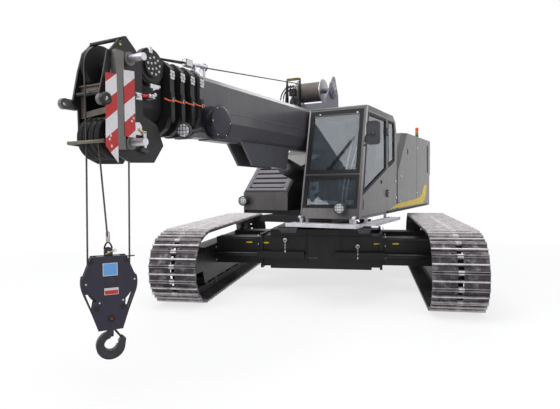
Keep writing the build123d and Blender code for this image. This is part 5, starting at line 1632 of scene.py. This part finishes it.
# ---- chassis -------------------------------------------------------------------------------
@dataclass
class Chassis:
    """Panels, ribs, brackets, shackles and bolts of the carbody and the side frames.

    Args:
        strips: each rib or panel's ends across and in height, thickness, finish's place and edge.
    """

    strips: tuple[tuple[Pair, Pair, float, int, float], ...] = (
        ((-0.245, -0.215), (0.440, 1.010), 0.022, 0, 0.004),
        ((0.310, 0.340), (0.440, 0.535), 0.022, 0, 0.004),
        ((0.310, 0.340), (0.665, 1.010), 0.022, 0, 0.004),
        ((-0.825, 0.825), (0.885, 0.905), 0.016, 0, 0.003),
        ((-0.202, -0.042), (0.552, 0.870), 0.006, 1, 0.003),
        ((0.020, 0.245), (0.552, 0.870), 0.006, 0, 0.003))
    front: float = 0.800
    back: float = -0.800
    gauge: float = 1.9355

    def build(self, tools: Tools) -> None:
        """Dress both faces of the carbody and the roots of the beams."""
        made = Shape("carbody_panels", "chassis", Finish.BLACK, Finish.BASE, Finish.LID, Finish.ZINC)
        for w, way in ((self.front, 1), (self.back, -1)):
            for x, z, thick, slot, ease in self.strips:
                low, high = sorted((w, w + way * thick))
                made.slab(LOWER, (x[0], low, z[0]), (x[1], high, z[1]), slot, ease)
            made.slab(LOWER, (-0.206, low, 0.540), (-0.048, w + 0.012 if way > 0 else w, 0.547), 2)
            for x0, x1 in ((-0.676, -0.360), (0.595, 0.827)):
                outer = w + way * 0.13
                top = [Vector((x0, -w, 1.040)), Vector((x1, -w, 1.040)), Vector((x1, -outer, 1.040)),
                       Vector((x0, -outer, 1.040))]
                made.prism(top, Vector((0, 0, 0.020)), 2, 0.003)
                made.prism([Vector((x0, -outer, 1.040)), Vector((x1, -outer, 1.040)), Vector((x1 - 0.03, -w, 0.950)),
                            Vector((x0 + 0.03, -w, 0.950))], Vector((0, way * 0.004, 0.012)), 2)
        made.slab(LOWER, (-0.243, 0.822, 0.56), (-0.218, 0.836, 0.600), 2, 0.003)
        made.done("black_steel")
        self._shackles()
        flange, beam = [], {"left_track": [], "right_track": []}
        for hand, body in ((1, "left_track"), (-1, "right_track")):
            out = Vector((hand, 0, 0))
            for flank in (-1, 1):
                for dw, dz in ((-0.205, 0.10), (-0.205, -0.10), (0.205, 0.10), (0.205, -0.10), (-0.205, 0.25),
                               (0.205, 0.25), (0.0, 0.262)):
                    flange.append((LOWER.at(hand * 1.040, flank * 0.56 + dw, 0.65 + dz), out))
                for dw, dz in ((-0.21, 0.12), (-0.21, -0.10), (0.21, 0.12), (0.21, -0.10)):
                    beam[body].append((LOWER.at(hand * (self.gauge - 0.150), flank * 0.56 + dw, 0.58 + dz), -out))
        tools.lay("sleeve_bolts", "chassis", "galvanised", Finish.ZINC, tools.hexagon, flange, 0.013)
        for body, places in beam.items():
            tools.lay(f"beam_bolts_{body}", body, "galvanised", Finish.ZINC, tools.hexagon, places, 0.015)
        for hand, body in ((1, "left_track"), (-1, "right_track")):
            marks = Shape(f"beam_marks_{body}", body, Finish.YELLOW, Finish.BASE)
            for w, way in ((0.7302, 1), (-0.7302, -1)):
                low, high = sorted((w, w + way * 0.001))
                for slot, ends, z0, z1 in ((0, (1.16, 1.26), 0.770, 0.790), (1, (1.10, 1.70), 0.842, 0.852)):
                    x0, x1 = sorted(hand * end for end in ends)
                    marks.slab(LOWER, (x0, low, z0), (x1, high, z1), slot)
            marks.done("black_steel")
        plain = Shape("sleeve_marks", "chassis", Finish.YELLOW)
        for x0, x1 in ((-0.955, -0.865), (0.865, 0.955)):
            plain.slab(LOWER, (x0, 0.7662, 0.770), (x1, 0.7672, 0.790), 0)
        plain.done("black_steel")

    def _shackles(self) -> None:
        """Retaining pins with their rings and short chains on the carbody's face."""
        made = Shape("carbody_shackles", "chassis", Finish.ZINC)
        for x, z in ((-0.560, 0.860), (0.611, 0.770)):
            made.rod(Vector((x, -0.799, z)), Vector((x, -0.920, z)), 0.013)
            made.ring(Vector((x, -0.924, z - 0.012)), Vector((0, 1, 0)), 0.026, 0.006, 0, 24, 8)
            for step in range(6):
                axis = Vector((1, 0, 0)) if step % 2 else Vector((0, 1, 0))
                made.ring(Vector((x, -0.924, z - 0.052 - step * 0.021)), axis, 0.010, 0.0036, 0, 14, 6)
            made.rod(Vector((x, -0.924, z - 0.180)), Vector((x, -0.924, z - 0.220)), 0.010)
        made.done("galvanised")


# ---- superstructure ------------------------------------------------------------------------
@dataclass
class House:
    """Stripes, seams, vents, rear louvres and locks on the two houses."""

    half: float = 1.20
    seam_w: float = -1.975
    slats: int = 12
    slat_low: float = 1.985
    slat_pitch: float = 0.049
    stripe: tuple[Pair, ...] = ((0.03, 1.325), (-0.45, 1.388), (-1.90, 1.430), (-2.25, 1.455), (-2.45, 1.505),
                                (-2.60, 1.620), (-2.677, 1.707), (-2.960, 1.705), (-2.860, 1.500),
                                (-2.730, 1.380), (-2.533, 1.319))

    def build(self, tools: Tools) -> None:
        """Make the sides' fittings."""
        for side, hand in (("left", 1), ("right", -1)):
            face = hand * self.half
            seams = Shape(f"house_seams_{side}", "superstructure", Finish.RUBBER, Finish.BODY)
            for outline in (((self.seam_w, 1.34), (self.seam_w + 0.008, 1.34), (self.seam_w + 0.008, 2.68),
                             (self.seam_w, 2.68)),
                            ((-1.24, 2.30), (-1.165, 2.30), (-1.165, 2.395), (-1.24, 2.395))):
                seams.plate(UPPER, outline, face, hand * 0.0012)
            seams.plate(UPPER, ((-2.98, 1.262), (0.20, 1.262), (0.20, 1.300), (-2.98, 1.300)), face, hand * 0.014, 1,
                        0.003)
            seams.done("black_plastic")
            film = Shape(f"side_stripe_{side}", "superstructure", Finish.YELLOW)
            film.plate(UPPER, self.stripe, face, hand * 0.0016)
            film.done("grey_paint")
            slats = Shape(f"rear_louvres_{side}", "superstructure", Finish.PLASTIC)
            slats.plate(UPPER, ((-3.085, 1.975), (-3.015, 1.975), (-3.015, 2.580), (-3.085, 2.580)), face,
                        hand * 0.002)
            for step in range(self.slats):
                z = self.slat_low + step * self.slat_pitch
                slats.prism([UPPER.at(face, w, h) for w, h in
                             ((-3.08, z), (-3.08, z + 0.03), (-3.02, z + 0.03), (-3.02, z))],
                            UPPER.along(hand * 0.010, 0, 0.008), 0, 0.001)
            slats.done("black_plastic")
            locks = [(UPPER.at(face, w, z), UPPER.along(hand, 0, 0)) for w, z in
                     ((-1.99, 1.54), (-1.99, 2.45), (-0.70, 1.876), (-3.20, 2.30), (-0.62, 1.42))]
            tools.lay(f"house_locks_{side}", "superstructure", "chrome", Finish.CHROME, tools.round_head, locks,
                      0.018)
        roof = Shape("house_roof_seams", "superstructure", Finish.RUBBER, Finish.BODY)
        for hand in (-1, 1):
            for w in (-1.98, -1.45):
                low, high = sorted((hand * 0.36, hand * 1.18))
                roof.slab(UPPER, (low, w, 2.6899), (high, w + 0.008, 2.6912))
            low, high = sorted((hand * 0.55, hand * 1.00))
            roof.slab(UPPER, (low, -2.70, 2.689), (high, -2.15, 2.700), 1, 0.004)
        roof.done("black_plastic")


@dataclass
class FrontBox:
    """Frame, dark slots in painted shade and screws of the front box's lid."""

    front: float = 0.80
    rear: float = 0.30
    low: float = 1.61
    top: float = 2.08
    right: float = -1.16
    left: float = -0.37
    slots: int = 5

    def build(self, tools: Tools) -> None:
        """Make the lid's frame and the dark sheets that paint the shade seen through its slots."""
        slope = Vector((0.0, self.rear - self.front, self.top - self.low)).normalized()
        normal = UPPER.along(0, slope.z, -slope.y)
        length = math.hypot(self.front - self.rear, self.top - self.low)

        def on(u: float, along: float, lift: float) -> Vector:
            """Point over the lid so far up its slope."""
            share = along / length
            return UPPER.at(u, self.front + (self.rear - self.front) * share,
                            self.low + (self.top - self.low) * share) + normal * lift

        frame = Shape("lid_frame", "superstructure", Finish.LID, Finish.RUBBER)
        frame.border([on(u, a, 0.025) for u, a in ((self.right, 0.035), (self.left, 0.035),
                                                  (self.left, length - 0.035), (self.right, length - 0.035))],
                     normal * 0.008, 0.050)
        pitch = (length - 0.200) / (self.slots - 1)
        # thin black sheets on the lid stand for its slots: a painted shade where the openings would be
        for step in range(self.slots):
            middle = 0.100 + step * pitch
            frame.prism([on(u, a, 0.0012) for u, a in ((self.right + 0.085, middle - 0.021),
                                                       (self.left - 0.085, middle - 0.021),
                                                       (self.left - 0.085, middle + 0.021),
                                                       (self.right + 0.085, middle + 0.021))], normal * 0.002, 1)
        for u in (self.right + 0.052, self.left - 0.082):
            frame.prism([on(u + du, a, 0.0255) for du, a in ((0, 0.09), (0.022, 0.09), (0.032, 0.15), (0.010, 0.15))],
                        normal * 0.002, 1)
        frame.done("light_grey")
        bolts = [(on(u, along, 0.033), normal) for u in (self.right + 0.024, self.left - 0.024)
                 for along in (0.06, length / 2, length - 0.06)]
        tools.lay("lid_screws", "superstructure", "chrome", Finish.CHROME, tools.round_head, bolts, 0.008)


@dataclass
class CabTrim:
    """Seals, wiper, roof, handle, mirror arm and inner trim of the cab."""

    left: float = 1.20
    right: float = 0.29
    foot: Pair = (1.590, 1.255)
    head: Pair = (1.200, 2.890)

    def nose(self, z: float) -> float:
        """Outer face of the cab's sloping front at a height."""
        (w0, z0), (w1, z1) = self.foot, self.head
        return w0 + (w1 - w0) * (z - z0) / (z1 - z0)

    def build(self, tools: Tools) -> None:
        """Make the trim on the cab and on its door."""
        self._seals()
        self._roof()
        self._wiper()
        self._mirror()
        self._inside()
        self._door(tools)

    def _seals(self) -> None:
        """Black borders over the edges of every window."""
        lean = UPPER.along(0, self.head[1] - self.foot[1], self.foot[0] - self.head[0]).normalized()
        made = Shape("window_seals", "superstructure", Finish.RUBBER)
        for low, high, width in ((1.405, 1.8815, 0.052), (1.8995, 2.850, 0.062)):
            made.border([UPPER.at(u, self.nose(z), z) for u, z in ((0.308, low), (1.150, low), (1.150, high),
                                                                   (0.308, high))], lean * 0.004, width)
        quarter = ((0.150, 2.034), (0.150, 2.790), (-0.225, 2.790), (-0.265, 2.660), (-0.265, 2.128))
        made.rim(UPPER, quarter, self.left, 0.003, 0.035)
        made.rim(UPPER, ((1.314, 1.950), (1.107, 2.820), (-0.265, 2.820), (-0.265, 1.950)), self.right, -0.003, 0.040)
        made.face_rim(UPPER, ((0.465, 2.14), (1.025, 2.14), (1.025, 2.56), (0.465, 2.56)), -0.400, -0.003, 0.030)
        made.done("black_plastic")
        seal = Shape("door_window_seal", "cab_door", Finish.RUBBER)
        door = ((1.445, 1.590), (1.196, 2.796), (0.245, 2.796), (0.245, 1.972))
        seal.rim(UPPER, door, self.left, 0.003, 0.042)
        seal.done("black_plastic")

    def _roof(self) -> None:
        """Dark roof panel, its light lip and edges in a painted highlight, and the small lamps under it, each with a
        thin black strip of painted shadow.
        """
        made = Shape("cab_roof_trim", "superstructure", Finish.DARK, Finish.FRAME, Finish.CHROME, Finish.PLASTIC)
        made.slab(UPPER, (0.32, -0.13, 2.888), (1.17, 1.165, 2.905), 0, 0.006)
        made.slab(UPPER, (0.45, 0.20, 2.900), (1.04, 0.80, 2.922), 0, 0.008)
        # the light grey rods along the roof's front and side edges and both front pillars, and the bar between the
        # screens, are painted highlights on these edges
        made.rod(UPPER.at(0.29, 1.203, 2.884), UPPER.at(1.20, 1.203, 2.884), 0.011, 1)
        made.rod(UPPER.at(1.201, 1.20, 2.884), UPPER.at(1.201, -0.15, 2.884), 0.009, 1)
        low, high = 1.262, 2.884
        for u in (0.294, 1.196):
            made.rod(UPPER.at(u, self.nose(low), low), UPPER.at(u, self.nose(high), high), 0.012, 1)
        made.slab(UPPER, (0.308, self.nose(1.891) - 0.010, 1.8822), (1.150, self.nose(1.891) + 0.006, 1.8988), 1,
                  0.003)
        for u in (0.465, 1.055):
            made.rod(UPPER.at(u, self.nose(2.80) - 0.004, 2.80), UPPER.at(u, self.nose(2.80) + 0.014, 2.79), 0.014, 2)
            # the thin black strip over each chrome stud is a painted shadow
            made.slab(UPPER, (u - 0.03, self.nose(2.80) + 0.002, 2.805), (u + 0.03, self.nose(2.80) + 0.012, 2.815), 3)
        made.done("black_plastic")

    def _wiper(self) -> None:
        """Wiper with its two arms and blade on the upper screen."""
        made = Shape("wiper", "superstructure", Finish.RUBBER)

        def over(u: float, z: float, lift: float) -> Vector:
            """Point in front of the screen."""
            return UPPER.at(u, self.nose(z) + lift, z)

        made.turned(((0, 0.0), (0.030, 0.0), (0.026, 0.022), (0, 0.026)), over(0.674, 1.985, -0.012),
                    UPPER.along(0, 1, 0.2).normalized(), 0, 20)
        for shift in (0.0, 0.018):
            made.pipe([over(0.674 + shift, 1.985, 0.012), over(0.82 + shift, 2.18, 0.018),
                       over(0.97 + shift, 2.38, 0.010)], 0.0045, 0, 8)
        made.prism([over(0.702, 1.988, 0.001), over(0.709, 1.983, 0.001), over(1.039, 2.433, 0.001),
                    over(1.032, 2.438, 0.001)], UPPER.along(0, 0.008, 0.002))
        made.done("black_plastic")

    def _mirror(self) -> None:
        """Bent arm and ball joint of the mirror, and the glass on its back."""
        made = Shape("mirror_fittings", "superstructure", Finish.PLASTIC, Finish.CHROME)
        face = 1.390
        made.pipe([UPPER.at(1.195, self.nose(2.36) + 0.006, 2.36), UPPER.at(1.215, self.nose(2.36) + 0.045, 2.42),
                   UPPER.at(1.250, face + 0.022, 2.452), UPPER.at(1.300, face + 0.024, 2.458),
                   UPPER.at(1.340, face + 0.016, 2.460)], 0.008, 0, 10)
        made.pipe([UPPER.at(1.340, face + 0.018, 2.46), UPPER.at(1.342, face + 0.012, 2.43)], 0.012, 0, 12)
        made.turned(((0, -0.002), (0.022, 0.0), (0.018, 0.020), (0, 0.028)), UPPER.at(1.340, face, 2.462),
                    FORWARD, 0, 20)
        for z in (2.36, 2.30):
            made.turned(((0, 0.0), (0.020, 0.0), (0.018, 0.014), (0, 0.018)), UPPER.at(1.196, self.nose(z) + 0.001, z),
                        UPPER.along(0, 1, 0.2).normalized(), 0, 16)
        made.prism([UPPER.at(u, 1.3398, z) for u, z in ((1.25, 2.33), (1.41, 2.33), (1.41, 2.61), (1.25, 2.61))],
                   UPPER.along(0, -0.002, 0), 1)
        made.face_rim(UPPER, ((1.265, 2.3055), (1.395, 2.3055), (1.4245, 2.335), (1.4245, 2.605), (1.395, 2.6345),
                              (1.265, 2.6345), (1.2355, 2.605), (1.2355, 2.335)), 1.389, 0.006, 0.014)
        made.done("black_plastic")

    def _inside(self) -> None:
        """Grey-green trim with its vents, steering column and pale conduits."""
        made = Shape("cab_inner_trim", "superstructure", Finish.TRIM, Finish.RUBBER, Finish.PALE, Finish.PLASTIC)
        made.face_plate(UPPER, ((0.345, 1.440), (0.800, 1.440), (0.800, 1.505), (0.480, 1.520), (0.400, 1.590),
                                (0.500, 1.640), (0.500, 1.790), (0.355, 1.790)), 1.380, 0.012, 0, 0.003)
        made.face_plate(UPPER, ((0.930, 1.440), (1.095, 1.440), (1.095, 1.520), (0.930, 1.520)), 1.380, 0.012, 0,
                        0.003)
        for z in (1.690, 1.815):
            made.turned(((0, 0.0), (0.034, 0.0), (0.034, 0.010), (0.028, 0.014), (0, 0.008)),
                        UPPER.at(0.415, 1.390, z), FORWARD, 1, 28)
        made.rod(UPPER.at(0.745, 1.28, 1.32), UPPER.at(0.745, 1.02, 2.02), 0.045, 3)
        made.ring(UPPER.at(0.745, 1.01, 2.05), UPPER.along(0, -0.36, 0.93), 0.170, 0.013, 1, 40, 10)
        for angle in (90, 210, 330):
            a = math.radians(angle)
            made.rod(UPPER.at(0.745, 1.01, 2.05),
                     UPPER.at(0.745 + 0.165 * math.cos(a), 1.01 + 0.154 * math.sin(a), 2.05 + 0.060 * math.sin(a)),
                     0.011, 1, 10)
        for shift, lean in ((0.0, 0.10), (0.055, 0.16)):
            made.pipe([UPPER.at(0.850 + shift + lean * t * t, 1.36 - 0.24 * t, 1.44 + 1.0 * t)
                       for t in shares(10)], 0.008, 2, 8)
        made.slab(UPPER, (0.36, 1.16, 1.315), (1.13, 1.37, 1.430), 1, 0.01)
        made.done("black_plastic")

    def _door(self, tools: Tools) -> None:
        """Slot handle, keyholes, hinge caps, and the grab bar."""
        made = Shape("door_fittings", "cab_door", Finish.RUBBER, Finish.CHROME)
        made.plate(UPPER, ((1.425, 1.385), (1.452, 1.380), (1.434, 1.525), (1.408, 1.530)), self.left, 0.003, 0,
                   0.001)
        made.turned(((0, 0.0), (0.030, 0.0), (0.026, 0.008), (0, 0.010)), UPPER.at(self.left, 0.531, 1.778),
                    LEFTWARD, 0, 24)
        for z in (1.590, 2.590):
            for end in (-1, 1):
                made.turned(((0, 0.0), (0.0145, 0.0), (0.0145, 0.004), (0.008, 0.008), (0, 0.008)),
                            UPPER.at(1.218, 0.200, z + end * 0.0285), Vector((0, 0, end)), 1, 20)
        made.done("black_plastic")
        places = [(UPPER.at(self.left, w, z), LEFTWARD) for w, z in ((-0.305, 1.781), (-0.340, 1.50))]
        tools.lay("cab_locks", "superstructure", "chrome", Finish.CHROME, tools.round_head, places, 0.020)


@dataclass
class Steps:
    """Serrated treads and end fittings of the steps."""

    top: float = 1.180
    front: Pair = (1.47, 1.77)
    across: Pair = (0.13, 1.21)
    front_rows: tuple[int, int] = (26, 6)
    side: Pair = (1.155, -0.07)
    side_rows: tuple[int, int] = (30, 4)
    side_pitch: Pair = (1.34, 0.05)
    margin: float = 0.03
    button: float = 0.012

    def build(self, tools: Tools) -> None:
        """Set out the buttons and the fittings."""
        places = []
        columns, rows = self.front_rows
        span_u, span_w = (end - start - 2 * self.margin for start, end in (self.across, self.front))
        for i in range(columns):
            for j in range(rows):
                u = self.across[0] + self.margin + i * span_u / (columns - 1)
                w = self.front[0] + self.margin + j * span_w / (rows - 1)
                places.append((UPPER.at(u, w, self.top), UPWARD))
        columns, rows = self.side_rows
        reach, pitch = self.side_pitch
        for i in range(columns):
            for j in range(rows):
                places.append((UPPER.at(self.side[0] + j * pitch, self.side[1] + i * reach / (columns - 1), self.top),
                               UPWARD))
        tools.lay("step_buttons", "superstructure", "galvanised", Finish.ZINC, tools.round_head, places, self.button)
        made = Shape("step_fittings", "superstructure", Finish.ZINC)
        for u in (0.300, 1.120):
            made.slab(UPPER, (u, 1.600, 1.178), (u + 0.040, 1.640, 1.300), 0, 0.006)
            made.turned(((0, 0.0), (0.026, 0.0), (0.026, 0.040), (0.020, 0.052), (0, 0.052)),
                        UPPER.at(u + 0.020, 1.640, 1.275), FORWARD, 0, 24)
        made.done("galvanised")
        rail = Shape("step_rails", "superstructure", Finish.ZINC)
        rail.slab(UPPER, (0.13, 1.764, 1.150), (1.21, 1.772, 1.192), 0, 0.002)
        rail.slab(UPPER, (1.334, -0.10, 1.150), (1.341, 1.30, 1.192), 0, 0.002)
        rail.done("galvanised")


@dataclass
class Cushion:
    """A stuffed seat pad, blown up a little by cloth simulation from a slightly smaller block.

    Args:
        name: the piece's name.
        low: rear, right, lower corner as u, w and z before it leans.
        high: the opposite corner.
        lean: degrees that it leans back about its lower rear edge.
        cap: how far a point may move.
        voxel: edge of the remesh that the cloth is made of.
        ease: how much smaller than its space the block starts on every side.
        round_by: width of the block's rounded edges.
        pressure: air pressure inside the cloth.
        frames: steps of the simulation.
        channel: depth, place and width of the sewn channels, the last two as shares of half its width.
    """

    name: str
    low: Triple
    high: Triple
    lean: float = 0.0
    cap: float = 0.016
    voxel: float = 0.012
    ease: float = 0.012
    round_by: float = 0.030
    pressure: float = 4.0
    frames: int = 20
    channel: Triple = (0.007, 0.52, 0.035)

    def _block(self) -> bpy.types.Object:
        """The smaller block that the pad grows from."""
        made = Shape(self.name, "superstructure", Finish.SEAT)
        low = tuple(v + self.ease for v in self.low)
        high = tuple(v - self.ease for v in self.high)
        made.slab(LOWER, low, high, 0, self.round_by)
        block = made.pattern()
        remesh = block.modifiers.new("voxels", "REMESH")
        remesh.mode = "VOXEL"
        remesh.voxel_size = self.voxel
        flatten(block)
        return block

    def _blow(self, block: bpy.types.Object) -> None:
        """Run the cloth and keep its shape, each point's move capped."""
        rest = [vert.co.copy() for vert in block.data.vertices]
        cloth = block.modifiers.new("cloth", "CLOTH")
        cloth.settings.use_pressure = True
        cloth.settings.uniform_pressure_force = self.pressure
        cloth.settings.effector_weights.gravity = 0.0
        scene = bpy.context.scene
        for frame in range(self.frames):
            scene.frame_set(frame + 1)
        graph = bpy.context.evaluated_depsgraph_get()
        blown = [vert.co.copy() for vert in block.evaluated_get(graph).data.vertices]
        block.modifiers.clear()
        scene.frame_set(1)
        for vert, start, end in zip(block.data.vertices, rest, blown):
            move = end - start
            vert.co = start + move.normalized() * min(move.length, self.cap) if move.length else start

    def build(self, tools: Tools) -> None:
        """Make the pad, sew its channels, lean it and hand it over."""
        block = self._block()
        self._blow(block)
        block.modifiers.new("smooth", "SUBSURF").levels = 1
        flatten(block)
        plain = block.data
        depth, place, width = self.channel
        middle = [(a + b) / 2 for a, b in zip(self.low, self.high)]
        half = (self.high[0] - self.low[0]) / 2
        turn = Matrix.Rotation(math.radians(self.lean), 3, "X")
        foot = Vector((middle[0], -self.low[1], self.low[2]))
        slew = Matrix.Rotation(math.radians(SLEW), 3, "Z")
        for vert in plain.vertices:
            across = abs((vert.co.x - middle[0]) / half)
            vert.co -= vert.normal * (depth * math.exp(-((across - place) / width) ** 2))
        for vert in plain.vertices:
            vert.co = slew @ (foot + turn @ (vert.co - foot))
        for face in plain.polygons:
            face.use_smooth = True
        plain.materials.clear()
        plain.materials.append(Finish.SEAT.material)
        settle(block, "superstructure", "cushion")


@dataclass
class Seat:
    """The driver's seat: pads on a moulded shell and a pedestal."""

    middle: float = 0.745
    half: float = 0.240

    def build(self, tools: Tools) -> None:
        """Make the shell and both pads."""
        made = Shape("seat_shell", "superstructure", Finish.PLASTIC, Finish.BLACK)
        made.slab(UPPER, (self.middle - 0.16, 0.17, 1.3152), (self.middle + 0.16, 0.53, 1.640), 1, 0.015)
        made.slab(UPPER, (self.middle - self.half, 0.13, 1.640), (self.middle + self.half, 0.68, 1.700), 0, 0.012)
        made.plate(UPPER, ((0.115, 1.70), (0.165, 1.70), (0.100, 2.39), (0.062, 2.39)), self.middle - self.half + 0.01,
                   2 * self.half - 0.02, 0, 0.008)
        made.done("black_plastic", ("seat",))
        for pad in (Cushion("seat_cushion", (self.middle - self.half, 0.24, 1.700),
                            (self.middle + self.half, 0.695, 1.815)),
                    Cushion("seat_back_cushion", (self.middle - self.half + 0.01, 0.165, 1.800),
                            (self.middle + self.half - 0.01, 0.255, 2.395), 6.0)):
            pad.build(tools)


@dataclass
class WarningTower:
    """Three lenses and a cap on the tower at the left rear."""

    u: float = 1.0
    w: float = -2.9
    low: float = 2.77
    radius: float = 0.035
    lens_foot: float = 0.017
    lens_pitch: float = 0.058

    def build(self, tools: Tools) -> None:
        """Stack the lenses."""
        made = Shape("warning_lenses", "superstructure", Finish.PLASTIC, Finish.LENS_GREEN, Finish.LENS_AMBER,
                     Finish.LENS_RED)
        foot = UPPER.at(self.u, self.w, self.low)
        made.turned(((0, -0.08), (0.011, -0.08), (0.011, 0.0), (self.radius, 0.002), (self.radius, 0.016),
                     (0, 0.016)), foot, UPWARD, 0)
        for step in range(3):
            z = self.lens_foot + step * self.lens_pitch
            made.turned(((0, z), (self.radius - 0.001, z), (self.radius, z + 0.025), (self.radius - 0.001, z + 0.054),
                         (0, z + 0.054)), foot, UPWARD, step + 1)
        made.turned(((0, 0.190), (self.radius - 0.001, 0.190), (self.radius - 0.006, 0.199), (0, 0.2)), foot,
                    UPWARD, 0)
        made.done("red_lens", ("warning_tower",))


@dataclass
class LampGlass:
    """Lens, rim and wire guard of each work lamp, facing forward."""

    places: tuple[Triple, ...] = ((0.93, 1.67, 1.41), (-1.15, 0.91, 1.475))
    radius: float = 0.085
    wires: Triple = (-0.038, 0.0, 0.038)
    wire: float = 0.0026
    stand: float = 0.014

    def build(self, tools: Tools) -> None:
        """Make the rims, lenses and guards."""
        made = Shape("lamp_faces", "superstructure", Finish.PLASTIC, Finish.LENS, Finish.CHROME)
        for u, w, z in self.places:
            centre = UPPER.at(u, w, z)
            made.turned(((self.radius - 0.014, 0.0), (self.radius - 0.001, 0.0), (self.radius - 0.001, 0.012),
                         (self.radius - 0.010, 0.014)), centre, FORWARD, 0)
            made.turned(((0, 0.0002), (self.radius - 0.015, 0.0003), (0, 0.0004)), centre, FORWARD, 2)
            made.turned(((0, 0.001), (self.radius - 0.0145, 0.001), (self.radius - 0.020, 0.008), (0, 0.012)),
                        centre, FORWARD, 1)
            front = w + self.stand
            for shift in self.wires:
                reach = math.sqrt((self.radius - 0.008) ** 2 - shift ** 2)
                for du, dz, run_u, run_z in ((shift, 0, 0, reach), (0, shift, reach, 0)):
                    made.rod(UPPER.at(u + du - run_u, front, z + dz - run_z),
                             UPPER.at(u + du + run_u, front, z + dz + run_z), self.wire, 0, 8)
        made.done("black_plastic")


def main() -> None:
    """Load the frame, dress it, and set the stage."""
    logging.basicConfig(level=logging.INFO, format="%(message)s", stream=sys.stdout)
    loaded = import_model()
    dress_nodes(loaded["nodes"])
    tools = Tools()
    for part in (Track("left", 1), Track("right", -1), Chassis(), Reeving(), Winch(), WarningBoards(), HeadTrim(),
                 Collars(), BoomTrim(), Block(), House(), FrontBox(), CabTrim(), Steps(), Seat(), WarningTower(),
                 LampGlass()):
        part.build(tools)
    tools.clear()
    Studio().build()


if __name__ == "__main__":
    main()
